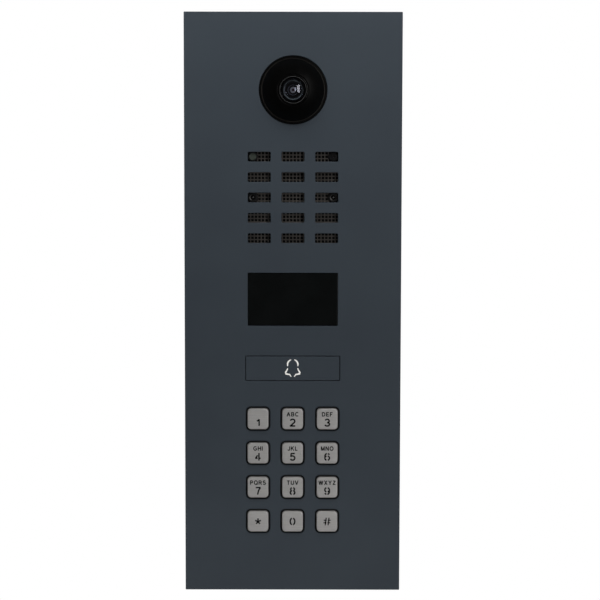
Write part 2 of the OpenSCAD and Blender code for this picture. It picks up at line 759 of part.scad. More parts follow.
module microphone_boot() color(black) placed() translate([mic_place[0], mic_place[1], 0])
    difference() {
        bar(device_r, sensor_board_z, device_top_z);
        bar(mic_r + fit_gap, sensor_board_z - cut, sensor_board_z + mic_h);
        bar(mic_port_r, sensor_board_z, device_top_z + cut);
    }

module sensor_board() color(board) placed() translate([0, grille_y, 0]) difference() {
    slab(mesh_w, mesh_h, sheet_corner_r, sensor_board_z - board_t, sensor_board_z);
    bar(speaker_body_r + speaker_gap, sensor_board_z - board_t - cut, sensor_board_z + cut);
    corners(sensor_stud_x, sensor_stud_y)
        bar(stud_hole_r, sensor_board_z - board_t - cut, sensor_board_z + cut);
}

// ---- Display ----

module display_window() color([0.02, 0.02, 0.025]) placed() translate([0, display_y, 0]) union() {
    slab(display_w - 2 * window_gap, display_h - 2 * window_gap, chip_corner_r, back_z - cut,
         front_z - window_recess);
    slab(display_w + 2 * window_lip, display_h + 2 * window_lip, opening_corner_r,
         back_z - window_lip_t, back_z);
}

module display_panel() color([0.3, 0.3, 0.32]) placed() translate([0, display_y, 0])
    slab(display_w + 2 * panel_margin_x, display_h + 2 * panel_margin_y, panel_corner_r,
         back_z - window_lip_t - panel_t, back_z - window_lip_t);

module display_bracket() color(black) placed() translate([0, display_y, 0]) difference() {
    union() {
        slab(display_w + 2 * (window_lip + window_gap + bracket_wall),
             display_h + 2 * (window_lip + window_gap + bracket_wall), sheet_corner_r,
             bracket_z, back_z);
        corners(display_stud_x, display_stud_y) bar(display_ear_r, back_z - frame_t, back_z);
        slab(2 * display_stud_x, 2 * display_stud_y, opening_corner_r, back_z - frame_t, back_z);
    }
    slab(display_w + 2 * (window_lip + window_gap), display_h + 2 * (window_lip + window_gap),
         opening_corner_r, bracket_z + bracket_wall, back_z + cut);
    slab(display_w - 2 * bracket_rim_x, display_h - 2 * bracket_rim_y, opening_corner_r,
         bracket_z - cut, back_z);
    corners(display_stud_x, display_stud_y) bar(stud_hole_r, bracket_z - cut, back_z + cut);
}

// ---- Call button ----

module call_button_cap() color(paint) placed() translate([0, button_y, carrier_top_z])
    linear_extrude(front_z - carrier_top_z) difference() {
        polygon(rounded(button_w, button_h, button_corner_r));
        bell(bell_line);
    }

module bell_light_guide() color([0.93, 0.93, 0.9]) placed() translate([0, button_y, 0]) union() {
    slab(window_size - 2 * light_gap, window_size - 2 * light_gap, window_corner_r - light_gap,
         carrier_top_z - carrier_t, carrier_top_z);
    translate([0, 0, carrier_top_z - guide_root])
        linear_extrude(front_z - light_gap - carrier_top_z + guide_root)
        bell(bell_line - 2 * light_gap);
}

module button_carrier() color(black) placed() translate([0, button_y, 0]) difference() {
    slab(button_w + 2 * carrier_lip, button_h + 2 * carrier_lip, opening_corner_r,
         carrier_top_z - carrier_t, carrier_top_z);
    slab(window_size, window_size, window_corner_r, 0, back_z);
    for (s = [-1, 1]) translate([s * spring_x, 0, 0])
        bar(spring_r + spring_wire_r + spring_gap, 0, carrier_top_z - carrier_t + spring_seat);
}

// A round wire wound into a coil, swept ring by ring
module coil(r, wire_r, turns, from, to, steps = 14, sides = 6) {
    rings = turns * steps;
    rise = (to - from - 2 * wire_r) / rings;
    slope = atan2(rise * steps, 2 * PI * r);
    points = [for (i = [0:rings], k = [0:sides - 1])
        let (a = 360 * i / steps, b = 360 * k / sides, out = r + wire_r * cos(b),
             up = wire_r * sin(b))
        [out * cos(a) + up * sin(slope) * sin(a), out * sin(a) - up * sin(slope) * cos(a),
         from + wire_r + rise * i + up * cos(slope)]];
    walls = [for (i = [0:rings - 1], k = [0:sides - 1]) let (n = (k + 1) % sides)
        each [[i * sides + k, i * sides + n, (i + 1) * sides + n],
              [i * sides + k, (i + 1) * sides + n, (i + 1) * sides + k]]];
    ends = [[for (k = [sides - 1:-1:0]) k], [for (k = [0:sides - 1]) rings * sides + k]];
    polyhedron(points, concat(walls, ends));
}

module button_springs() color(steel) placed() for (s = [-1, 1])
    translate([s * spring_x, button_y, 0]) coil(spring_r, spring_wire_r, spring_turns,
        keypad_board_z, carrier_top_z - carrier_t + spring_seat);

module button_switch() color(black) placed() translate([0, button_y, keypad_board_z]) union() {
    slab(switch_size, switch_size, chip_corner_r, 0, switch_h);
    bar(switch_stem_r, 0, carrier_top_z - carrier_t - button_travel - switch_gap - keypad_board_z);
}

// ---- Keypad ----

module key(i) color(steel) placed() translate([key_x(i), key_y(i), 0]) difference() {
    union() {
        slab(key_size, key_size, key_corner_r, key_flange_z, key_top_z);
        slab(key_flange, key_flange, key_corner_r, key_flange_z, key_flange_z + key_flange_t);
    }
    slab(key_bore, key_bore, key_corner_r - key_wall / 2, key_flange_z - cut, key_top_z - key_skin);
}

module button_frame() color(black) placed() {
    difference() {
        union() {
            translate([0, frame_y, 0])
                slab(frame_w, frame_h, sheet_corner_r, back_z - frame_t, back_z);
            translate([0, frame_y, 0]) difference() {
                slab(frame_w, frame_h, sheet_corner_r, keypad_board_z, back_z - frame_t);
                slab(frame_w - 2 * frame_rim_t, frame_h - 2 * frame_rim_t, opening_corner_r,
                     keypad_board_z - cut, back_z - frame_t);
            }
            for (i = [0:11]) translate([key_x(i), key_y(i), 0])
                slab(collar_size, collar_size, key_corner_r + key_gap + collar_t,
                     back_z - frame_t, collar_top_z);
        }
        for (i = [0:11]) translate([key_x(i), key_y(i), 0])
            slab(key_size + 2 * key_gap, key_size + 2 * key_gap, key_corner_r + key_gap,
                 keypad_board_z, front_z);
        translate([0, button_y, 0])
            slab(button_w + 2 * carrier_lip + 2 * carrier_gap,
                 button_h + 2 * carrier_lip + 2 * carrier_gap, opening_corner_r,
                 keypad_board_z, front_z);
        at_studs("frame") bar(stud_hole_r, keypad_board_z, front_z);
    }
}

module keypad_mat() color([0.1, 0.1, 0.11]) placed() union() {
    translate([0, keypad_y, 0])
        slab(3 * key_pitch, 4 * key_pitch, sheet_corner_r, keypad_board_z, keypad_board_z + mat_t);
    for (i = [0:11]) translate([key_x(i), key_y(i), 0])
        slab(key_bore - 2 * mat_gap, key_bore - 2 * mat_gap, opening_corner_r, keypad_board_z,
             key_top_z - key_skin);
}

module keypad_board() color(board) placed() difference() {
    translate([0, frame_y, 0])
        slab(frame_w, frame_h, sheet_corner_r, keypad_board_z - board_t, keypad_board_z);
    at_studs("frame") bar(stud_hole_r, 0, back_z);
}

// ---- Main board, terminals, tamper contact and rear cover ----

module main_board() color(board) placed() difference() {
    translate([0, main_board_y, 0])
        slab(main_board_w, main_board_h, sheet_corner_r, main_board_back, main_board_z);
    at_studs("frame") bar(stud_hole_r, 0, back_z);
}

module processor_shield() color(steel) placed() translate([0, shield_y, 0])
    slab(shield_size, shield_size, opening_corner_r, main_board_back - shield_h, main_board_back);

function way_x(i) = (i - (terminal_ways - 1) / 2) * terminal_pitch;

module terminal_block() color([0.1, 0.4, 0.2]) placed() translate([0, terminal_y, 0]) difference() {
    slab(terminal_w, terminal_h, terminal_corner_r, terminal_z, main_board_back);
    for (i = [0:terminal_ways - 1]) {
        translate([way_x(i), terminal_screw_y, 0])
            bar(terminal_screw_r + terminal_gap, terminal_z - cut, terminal_z + terminal_well);
        translate([way_x(i), -terminal_h / 2 - cut, terminal_z + wire_hole_z])
            rotate([-90, 0, 0]) cylinder(r = wire_hole_r, h = wire_hole_l + cut);
    }
}

module terminal_screws() color(steel) placed()
    translate([0, terminal_y + terminal_screw_y, terminal_z + terminal_well - terminal_screw_h])
        for (i = [0:terminal_ways - 1]) translate([way_x(i), 0, 0]) difference() {
            bar(terminal_screw_r, 0, terminal_screw_h);
            translate([-terminal_screw_r - cut, -terminal_slot_w / 2, -cut])
                cube([2 * (terminal_screw_r + cut), terminal_slot_w, terminal_slot_depth + cut]);
        }

module rear_cover() color(black) placed() difference() {
    translate([0, (cover_top + cover_bottom) / 2, 0])
        slab(cover_w, cover_top - cover_bottom, cover_corner_r, cover_z, back_z);
    translate([0, (cover_top + cover_bottom) / 2, 0])
        slab(cover_w - 2 * cover_wall, cover_top - cover_bottom - 2 * cover_wall,
             cover_hollow_corner_r, cover_z + cover_wall, back_z + cut);
    at_studs("cover") bar(stud_hole_r, cover_z - cut, cover_z + cover_wall + cut);
    translate([0, (cover_hole_top + cover_hole_bottom) / 2, 0])
        slab(cover_hole_w, cover_hole_top - cover_hole_bottom, opening_corner_r, cover_z - cut,
             cover_z + cover_wall + cut);
    translate([tamper_x, tamper_y, 0])
        bar(tamper_r + tamper_hole_gap, cover_z - cut, cover_z + cover_wall + cut);
}

module tamper_switch() color([0.5, 0.1, 0.1]) placed() translate([tamper_x, tamper_y, 0])
    difference() {
        slab(tamper_size, tamper_size, small_corner_r, main_board_back - tamper_h,
             main_board_back);
        bar(tamper_r + tamper_gap, main_board_back - tamper_h - cut,
            main_board_back - tamper_floor);
    }

module tamper_plunger() color([0.85, 0.85, 0.8]) placed() translate([tamper_x, tamper_y, 0])
    bar(tamper_r, housing_wall + tamper_gap,
        main_board_back - tamper_floor - tamper_travel - tamper_end_gap);

// ---- What each node draws ----

housing();
housing_gasket();
cable_grommet();
front_plate();
top_hooks();
bottom_bracket();
security_screws();
plate_studs();
stud_nuts();
camera_bezel();
bezel_seal();
lens_ring();
front_lens();
inner_lens();
lens_barrel();
lens_holder();
ir_cut_filter();
camera_board();
image_sensor();
camera_screws();
grille_mesh();
speaker_basket();
speaker_cone();
speaker_magnet();
ir_leds();
device_collars();
light_sensor();
microphone();
microphone_boot();
sensor_board();
display_window();
display_panel();
display_bracket();
call_button_cap();
bell_light_guide();
button_carrier();
button_springs();
button_switch();
for (i = [0:11]) key(i);
button_frame();
keypad_mat();
keypad_board();
main_board();
processor_shield();
terminal_block();
terminal_screws();
rear_cover();
tamper_switch();
tamper_plunger();
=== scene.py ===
import json
from math import acos, asin, cos, degrees, hypot, pi, radians, sin, sqrt, tau

import bmesh
import bpy
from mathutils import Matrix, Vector
from mathutils.geometry import tessellate_polygon


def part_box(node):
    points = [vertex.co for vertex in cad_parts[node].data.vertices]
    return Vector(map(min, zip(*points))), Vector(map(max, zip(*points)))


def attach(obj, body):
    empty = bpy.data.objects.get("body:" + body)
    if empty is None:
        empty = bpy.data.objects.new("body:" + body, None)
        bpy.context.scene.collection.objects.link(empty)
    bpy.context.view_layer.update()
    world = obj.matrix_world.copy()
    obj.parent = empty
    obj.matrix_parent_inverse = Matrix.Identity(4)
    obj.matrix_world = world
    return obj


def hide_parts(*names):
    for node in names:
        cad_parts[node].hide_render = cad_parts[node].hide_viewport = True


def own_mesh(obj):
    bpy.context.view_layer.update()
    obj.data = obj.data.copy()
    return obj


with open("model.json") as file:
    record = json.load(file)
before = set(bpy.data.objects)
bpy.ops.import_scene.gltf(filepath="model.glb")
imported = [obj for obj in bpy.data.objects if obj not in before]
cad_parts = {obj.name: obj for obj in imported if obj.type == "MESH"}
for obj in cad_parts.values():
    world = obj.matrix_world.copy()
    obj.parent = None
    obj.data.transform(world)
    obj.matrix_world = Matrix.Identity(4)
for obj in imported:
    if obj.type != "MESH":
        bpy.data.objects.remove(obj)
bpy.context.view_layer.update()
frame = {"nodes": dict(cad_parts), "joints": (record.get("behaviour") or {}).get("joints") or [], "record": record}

# Everything below is in millimetres as the panel is seen from the street: x to the right, z up,
# and "out" the distance out of the wall. spot() turns that into Blender's metres.
mm = 0.001
scene = bpy.context.scene
nodes = frame["nodes"]
keyNames = ["1", "2", "3", "4", "5", "6", "7", "8", "9", "star", "0", "hash"]


def spot(x, z, out):
    return Vector((x * mm, -out * mm, z * mm))


def putInScene(name, data):
    made = bpy.data.objects.new(name, data)
    scene.collection.objects.link(made)
    return made


class Extent:
    # a CAD node's box, in the same millimetres
    def __init__(self, node):
        low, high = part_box(node)
        self.left, self.right = low[0] / mm, high[0] / mm
        self.bottom, self.top = low[2] / mm, high[2] / mm
        self.back, self.front = -high[1] / mm, -low[1] / mm
        self.x, self.z = (self.left + self.right) / 2, (self.bottom + self.top) / 2
        self.width, self.height = self.right - self.left, self.top - self.bottom

    def outline(self, corner, steps=8):
        return roundedShape(self.x, self.z, self.width, self.height, corner, steps)


plate = Extent("front_plate")
bezel = Extent("bezel_seal")
cloth = Extent("grille_mesh")
window = Extent("display_window")
buttonCap = Extent("call_button_cap")
keys = [Extent("key_" + name) for name in keyNames]
slots = {"width": 12.6, "height": 5.4, "corner": 0.7, "stepX": 18.6, "stepZ": 11.25}
devices = {"sensor": (-22.2, 2), "ledLeft": (-22.2, 0), "ledRight": (22.2, 0), "microphone": (22.2, 2)}
deviceSpots = {name: (cloth.x + x, cloth.z + row * slots["stepZ"]) for name, (x, row) in devices.items()}


class Value:
    # a shader socket that can be used in sums
    def __init__(self, kit, socket):
        self.kit, self.socket = kit, socket

    def sum(self, operation, *others):
        return self.kit.node("Math", {"operation": operation}, [self, *others])

    def __add__(self, other):
        return self.sum("ADD", other)

    def __sub__(self, other):
        return self.sum("SUBTRACT", other)

    def __mul__(self, other):
        return self.sum("MULTIPLY", other)

    def __rsub__(self, other):
        return self.kit.node("Math", {"operation": "SUBTRACT"}, [other, self])

    __radd__, __rmul__ = __add__, __mul__

    def clamped(self):
        return self.kit.node("Clamp", {}, [self])

    def ramp(self, low, high):
        return self.kit.node("MapRange", {"interpolation_type": "SMOOTHSTEP"},
                             [self, low, high, 0.0, 1.0])


class NodeTree:
    # every shader node but a material's own Principled and output ones is made here
    def __init__(self, tree):
        self.tree = tree

    def node(self, kind, settings, values=(), output=0, **named):
        made = self.tree.nodes.new("ShaderNode" + kind)
        for key, value in settings.items():
            setattr(made, key, value)
        live = [s for s in made.inputs if s.enabled]
        for target, value in list(zip(live, values)) + [(made.inputs[k], v) for k, v in named.items()]:
            if isinstance(value, Value):
                self.tree.links.new(value.socket, target)
            else:
                target.default_value = value
        results = [s for s in made.outputs if s.enabled]
        return Value(self, results[output]) if results else made

    def vector(self, operation, first, second):
        return self.node("VectorMath", {"operation": operation}, [first, second])


class Finish(NodeTree):
    # one material, built on a Principled shader
    def __init__(self, name, **fixed):
        self.material = bpy.data.materials.new(name)
        self.material.use_nodes = True
        super().__init__(self.material.node_tree)
        self.shader = next(n for n in self.tree.nodes if n.type == "BSDF_PRINCIPLED")
        for socket, value in fixed.items():
            self.set(socket, value)

    def set(self, name, value):
        # name is a socket's name in camelCase
        sockets = self.shader.inputs
        target = next(s for s in sockets if s.name.replace(" ", "").lower() == name.lower())
        if isinstance(value, Value):
            self.tree.links.new(value.socket, target)
        else:
            target.default_value = value

    def place(self, stretch=(1, 1, 1)):
        # a point on the object in metres, stretched along each axis
        return self.vector("MULTIPLY", self.node("TexCoord", {}, output=3), stretch)

    def noise(self, size, detail=3.0, stretch=(1, 1, 1), roughness=0.5):
        # cloudy values from 0 to 1, with lumps about size millimetres across
        return self.node("TexNoise", {}, [self.place(stretch)], Scale=1 / (size * mm),
                         Detail=detail, Roughness=roughness)

    def radius(self, x, z):
        # the distance in millimetres from an axis that runs out of the wall
        offset = self.vector("SUBTRACT", self.node("TexCoord", {}, output=3), (x * mm, 0, z * mm))
        flat = self.vector("MULTIPLY", offset, (1, 0, 1))
        return self.node("VectorMath", {"operation": "LENGTH"}, [flat]) * (1 / mm)

    def band(self, distance, middle, width):
        # 1 within half a width of the middle, fading to 0
        away = (distance - middle).sum("ABSOLUTE")
        return 1 - away.ramp(width * 0.35, width * 0.65)

    def blend(self, share, first, second):
        # a colour between two colours
        return self.node("Mix", {"data_type": "RGBA"},
                         [share, (*first, 1) if isinstance(first, tuple) else first,
                          (*second, 1) if isinstance(second, tuple) else second])

    def surface(self, colour, roughness, height, depth):
        # depth is the relief in millimetres
        self.set("baseColor", colour)
        self.set("roughness", roughness)
        self.set("normal", self.node("Bump", {}, [1.0, depth * mm], Height=height))
        return self.material


def powderCoat(name="powderCoat"):
    coat = {"low": (0.040, 0.0505, 0.0635), "high": (0.045, 0.0575, 0.0705), "grain": 0.35, "relief": 0.01}
    paint = Finish(name, specularIORLevel=0.3)
    grain = paint.noise(coat["grain"], 2.0)
    cloud = paint.noise(38, 2.0)
    colour = paint.blend((grain * 0.45 + cloud * 0.55).ramp(0.3, 0.7), coat["low"], coat["high"])
    return paint.surface(colour, 0.5 + grain * 0.12 + cloud * 0.05, grain + paint.noise(1.3, 1.0) * 0.6,
                         coat["relief"])


def satinSteel(name="satinSteel", tone=(0.84, 0.82, 0.8), along=(1, 1, 22), rough=0.46):
    # fine grinding lines across the piece, with a soft haze over them
    paint = Finish(name, metallic=0.7)
    lines = paint.noise(6, 6.0, along, 0.7)
    haze = paint.noise(9, 2.0)
    dark = tuple(c * 0.82 for c in tone)
    colour = paint.blend((lines * 0.7 + haze * 0.3).ramp(0.3, 0.75), dark, tone)
    return paint.surface(colour, rough + lines * 0.1 + haze * 0.06, lines, 0.004)


def plated(name, tone, rough=0.3):
    paint = Finish(name, metallic=1.0)
    patch = paint.noise(3, 3.0)
    colour = paint.blend(patch.ramp(0.3, 0.7), tuple(c * 0.8 for c in tone), tone)
    return paint.surface(colour, rough + patch * 0.14, paint.noise(0.6, 2.0), 0.004)


def moulded(name, tone, rough=0.45, grain=0.25, relief=0.012, level=0.4):
    # spark-eroded plastic: a fine pitted skin
    paint = Finish(name, specularIORLevel=level)
    pits = paint.noise(grain, 2.0)
    cloud = paint.noise(14, 2.0)
    colour = paint.blend(cloud.ramp(0.3, 0.7), tuple(c * 0.85 for c in tone),
                         tuple(min(1, c * 1.12) for c in tone))
    return paint.surface(colour, rough + pits * 0.1 + cloud * 0.04, pits, relief)


def polished(name, tone, rough=0.12, level=0.3):
    paint = Finish(name, specularIORLevel=level)
    smear = paint.noise(11, 3.0)
    colour = paint.blend(smear.ramp(0.3, 0.7), tone, tuple(min(1, c * 1.3) for c in tone))
    return paint.surface(colour, rough + smear * 0.06, paint.noise(5, 1.0), 0.002)


def blackRingsAndHighlights(name, rough, level, rings, axes=((bezel.x, bezel.z),)):
    # black with lighter rings, some of them painted highlights and a painted reflection: each ring is its radius
    # round an axis, its width and its tone
    paint = Finish(name, specularIORLevel=level)
    distance = paint.radius(*axes[0])
    for axis in axes[1:]:
        distance = distance.sum("MINIMUM", paint.radius(*axis))
    haze = paint.noise(5, 3.0)
    colour = paint.blend(haze, (0.0006, 0.0006, 0.0006), (0.001, 0.001, 0.001))
    # each ring paints its tone into the colour; on the dome, the lens ring and the inner lens these are painted
    # highlights and a painted reflection
    for middle, width, tone in rings:
        colour = paint.blend(paint.band(distance, middle, width), colour, tone)
    return paint.surface(colour, rough + haze * 0.06, paint.noise(2.5, 2.0), 0.002)


def circuit(name, mask, copper, level=0.5):
    # solder mask over tracks, which run in straight lanes and stand a little proud
    paint = Finish(name, specularIORLevel=level)
    lanes = [paint.node("TexWave", {"wave_type": "BANDS", "bands_direction": axis},
                        [paint.place()], Scale=scale, Distortion=0.0)
             for axis, scale in (("X", 260), ("Z", 230))]
    area = paint.node("TexVoronoi", {"distance": "CHEBYCHEV"}, [paint.place()], Scale=170, Randomness=1.0,
                      output=0).ramp(0.0022, 0.0026)
    tracks = (lanes[0] * area + lanes[1] * (1 - area)).ramp(0.55, 0.65)
    return paint.surface(paint.blend(tracks, mask, copper), 0.32 + tracks * 0.1, tracks, 0.03)


def lensGlass(name="lensGlass", tint=(0.93, 0.95, 1.0), mirror=0.09, gloss=0.12):
    # coated glass: what is behind it shows through, and its skin mirrors the lamps
    paint = Finish(name, roughness=0.04, metallic=1.0)
    smear = paint.noise(4, 2.0)
    paint.set("baseColor", paint.blend(smear, (0.82, 0.84, 1.0), (0.95, 0.95, 1.0)))
    clear = paint.node("BsdfTransparent", {}, [(*tint, 1)])
    facing = paint.node("LayerWeight", {}, [0.25], output=1)
    share = (mirror + facing * gloss + smear * 0.02).clamped()
    mixed = paint.node("MixShader", {}, [share, clear, Value(paint, paint.shader.outputs[0])])
    out = next(n for n in paint.tree.nodes if n.type == "OUTPUT_MATERIAL")
    paint.tree.links.new(mixed.socket, out.inputs["Surface"])
    return paint.material


def glow(name, tone, rough=0.35, lit=0.0):
    paint = Finish(name, specularIORLevel=0.4, emissionStrength=lit)
    cloud = paint.noise(2.5, 2.0)
    colour = paint.blend(cloud.ramp(0.2, 0.8), tuple(c * 0.93 for c in tone), tone)
    paint.set("emissionColor", colour)
    return paint.surface(colour, rough + cloud * 0.08, cloud, 0.004)


finishes = {
    "coated_steel": powderCoat(),
    "stainless": satinSteel(),
    "zinc_steel": plated("zincSteel", (0.6, 0.6, 0.58)),
    "magnet": plated("plainSteel", (0.45, 0.45, 0.46), 0.4),
    "foam": moulded("gasketFoam", (0.018, 0.018, 0.019), 0.85, 0.6, 0.05, 0.2),
    "rubber": moulded("siliconeRubber", (0.006, 0.006, 0.0065), 0.6, 0.5, 0.01, 0.15),
    # the dome's lighter ring at 17.22 mm is a painted highlight round the dome's foot
    "dome_black": blackRingsAndHighlights("domeBlack", 0.36, 0.22, [(17.22, 0.5, (0.042, 0.039, 0.036))]),
    # on the lens parts the ring at 7.25 mm is a painted highlight on the lens ring's front edge; the rings at 5.15
    # and 2.75 mm are lighter tones
    "lens_black": blackRingsAndHighlights("lensBlack", 0.14, 0.5, [(7.25, 0.2, (0.06, 0.06, 0.06)),
                                                       (5.15, 0.6, (0.1, 0.112, 0.1)),
                                                       (2.75, 0.24, (0.12, 0.12, 0.14))]),
    # the inner lens's bright ring at 1.2 mm is a painted reflection; its dark purple middle is the coating's tone
    "inner_glass": blackRingsAndHighlights("innerGlass", 0.07, 0.5, [(1.2, 0.8, (0.6, 0.56, 0.56)),
                                                         (0, 1.1, (0.1, 0.04, 0.05))]),
    "lens_glass": lensGlass(),
    "filter_glass": polished("filterGlass", (0.04, 0.2, 0.18), 0.06, 0.5),
    "circuit_board": circuit("greenBoard", (0.006, 0.06, 0.024), (0.02, 0.14, 0.05)),
    "sensor_board": circuit("blackBoard", (0.0015, 0.0015, 0.002), (0.004, 0.004, 0.0045), 0.15),
    "sensor_chip": polished("sensorChip", (0.02, 0.018, 0.03), 0.1, 0.6),
    "metal_cloth": moulded("grilleCoat", (0.095, 0.086, 0.078), 0.5, 0.3, 0.01, 0.3),
    "black_plastic": moulded("blackPlastic", (0.006, 0.006, 0.0065), 0.5),
    "speaker_paper": moulded("speakerPaper", (0.008, 0.008, 0.008), 0.8, 0.5, 0.03, 0.2),
    "led_cup": plated("ledCup", (0.2, 0.195, 0.19), 0.35),
    "led_resin": blackRingsAndHighlights("ledResin", 0.1, 0.4, [(0, 0.7, (0.05, 0.05, 0.05))],
                             (deviceSpots["ledLeft"], deviceSpots["ledRight"])),
    "sensor_resin": moulded("sensorResin", (0.036, 0.044, 0.036), 0.4, 0.4, 0.006),
    "display_glass": polished("displayGlass", (0.0036, 0.0042, 0.0042), 0.07, 0.25),
    "display_case": plated("displayCase", (0.4, 0.4, 0.4), 0.35),
    "light_guide": glow("bellDiffuser", (0.86, 0.85, 0.81), 0.35, 0.3),
    "terminal_green": moulded("terminalGreen", (0.02, 0.19, 0.05), 0.4),
    "switch_red": moulded("switchRed", (0.26, 0.015, 0.012), 0.4),
    "white_nylon": moulded("whiteNylon", (0.68, 0.66, 0.6), 0.4),
    "ink": moulded("legendInk", (0.006, 0.006, 0.006), 0.55, 0.3, 0.004, 0.25),
}
ownFinish = {"sensor_board": "sensor_board", "inner_lens": "inner_glass"}
for subpart in frame["record"]["subparts"]:
    node = subpart["node"]
    for holder in nodes[node].material_slots:
        holder.material = finishes[ownFinish.get(node, subpart["material_slot"])]
print("finishes made and put on the CAD nodes")


# mesh helpers


def roundedShape(x, z, width, height, radius, steps=8):
    # a rounded rectangle; grow moves its edge outwards
    def points(grow=0.0):
        r = max(radius + grow, 0.01)
        found = []
        for sx, sz, start in ((1, 1, 0), (-1, 1, 90), (-1, -1, 180), (1, -1, 270)):
            for i in range(steps + 1):
                a = radians(start + 90 * i / steps)
                found.append((x + sx * (width / 2 + grow - r) + r * cos(a),
                              z + sz * (height / 2 + grow - r) + r * sin(a)))
        return found
    return points


def roundShape(x, z, radius, steps=96):
    def points(grow=0.0):
        turn = [tau * i / steps for i in range(steps)]
        return [(x + (radius + grow) * cos(a), z + (radius + grow) * sin(a)) for a in turn]
    return points


def lineShape(route, width, taper=0.0):
    # a line drawn along a route, which may narrow towards its ends
    def points(grow=0.0):
        path = [Vector(p) for p in route]
        path[0] = path[0] - (path[1] - path[0]).normalized() * grow
        path[-1] = path[-1] + (path[-1] - path[-2]).normalized() * grow
        one, two = [], []
        for i, p in enumerate(path):
            before = (p - path[i - 1]).normalized() if i else (path[1] - p).normalized()
            after = (path[i + 1] - p).normalized() if i < len(path) - 1 else before
            along = (before + after).normalized()
            thin = 1 - taper * abs(2 * i / (len(path) - 1) - 1) ** 2
            reach = (width * thin / 2 + grow) / max(before.dot(along), 0.6)
            one.append((p.x - along.y * reach, p.y + along.x * reach))
            two.append((p.x + along.y * reach, p.y - along.x * reach))
        return one + two[::-1]
    return points


class Build:
    # a mesh made of rings and skins, which becomes one piece
    def __init__(self):
        self.mesh = bmesh.new()

    def ring(self, points, out):
        return [self.mesh.verts.new(spot(x, z, out)) for x, z in points]

    def skin(self, first, second):
        count = len(first)
        for i in range(count):
            j = (i + 1) % count
            self.mesh.faces.new((first[i], first[j], second[j], second[i]))

    def cap(self, outer, holes=()):
        loops = [outer, *holes]
        corners = [v for loop in loops for v in loop]
        for face in tessellate_polygon([[Vector((v.co.x, v.co.z, 0)) for v in loop] for loop in loops]):
            self.mesh.faces.new([corners[i] for i in face])

    def loft(self, levels, close=(True, True)):
        # levels are (points, out) pairs, all with as many points
        rings = [self.ring(points, out) for points, out in levels]
        for first, second in zip(rings, rings[1:]):
            self.skin(first, second)
        for shut, end in zip(close, (rings[0], rings[-1])):
            if shut:
                self.cap(end)
        return rings

    def sheet(self, outer, holes, back, front, edge=0.2, edgeBack=0.1, steps=3):
        # a flat sheet with holes and a rounded break along every edge
        levels = []
        for i in range(steps + 1):
            a = pi / 2 * i / steps
            levels.append((edgeBack * (1 - sin(a)), back + edgeBack * (1 - cos(a))))
        for i in range(steps + 1):
            a = pi / 2 * i / steps
            levels.append((edge * (1 - cos(a)), front - edge * (1 - sin(a))))
        ends = []
        for shape, side in [(outer, -1)] + [(hole, 1) for hole in holes]:
            rings = [self.ring(shape(side * inset), out) for inset, out in levels]
            for first, second in zip(rings, rings[1:]):
                self.skin(first, second)
            ends.append((rings[0], rings[-1]))
        for which in (0, 1):
            self.cap(ends[0][which], [end[which] for end in ends[1:]])

    def lathe(self, x, z, profile, steps=96):
        # profile is (radius, out) pairs; a radius of 0 closes on the axis
        rings = []
        for radius, out in profile:
            if radius:
                rings.append(self.ring(roundShape(x, z, radius, steps)(), out))
            else:
                rings.append([self.mesh.verts.new(spot(x, z, out))])
        for first, second in zip(rings, rings[1:]):
            if len(first) == len(second):
                self.skin(first, second)
            else:
                tip, base = (first[0], second) if len(first) == 1 else (second[0], first)
                for i in range(len(base)):
                    self.mesh.faces.new((tip, base[i], base[(i + 1) % len(base)]))
        return rings

    def piece(self, name, slot, stands=None, body="panel", finish=None):
        bmesh.ops.remove_doubles(self.mesh, verts=self.mesh.verts, dist=1e-7)
        bmesh.ops.recalc_face_normals(self.mesh, faces=self.mesh.faces)
        data = bpy.data.meshes.new(name)
        self.mesh.to_mesh(data)
        self.mesh.free()
        data.materials.append(finishes[finish or slot])
        for face in data.polygons:
            face.use_smooth = True
        data.set_sharp_from_angle(angle=radians(35))
        made = putInScene(name, data)
        even = made.modifiers.new("evenShading", "WEIGHTED_NORMAL")
        even.keep_sharp = True
        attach(made, body)
        if stands:
            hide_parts(stands)
        return made


def arc(x, z, rx, rz, start, end, steps=10):
    turns = [radians(start + (end - start) * i / steps) for i in range(steps + 1)]
    return [(x + rx * cos(a), z + rz * sin(a)) for a in turns]


def arcProfile(radius, out, r, start, end, steps=5):
    # a round stretch of a turned piece's outline
    return arc(radius, out, r, r, start, end, steps)


def rimProfile(radius, out, r, steps=5):
    # the outer front edge of a turned piece, rounded
    return arcProfile(radius - r, out - r, r, 0, 90, steps)


# front plate

plateSize = {"corner": 0.35, "edge": 0.3, "cameraHole": 18.8}
slotPlaces = [(cloth.x + c * slots["stepX"], cloth.z + r * slots["stepZ"])
              for c in (-1, 0, 1) for r in (-2, -1, 0, 1, 2)]
windowSize = {"width": 49.6, "height": 29.1, "gap": 0.2, "recess": 0.3, "corner": 0.4, "holeCorner": 0.5,
              "lipCorner": 1.0, "lipEdge": 0.1, "edge": 0.25, "edgeMiddle": 0.08}
buttonSize = {"corner": 0.4, "gap": 0.35, "holeCorner": 0.6, "edge": 0.22}
keySize = {"width": 11.6, "corner": 2.0, "hole": 13.6, "holeCorner": 2.85}

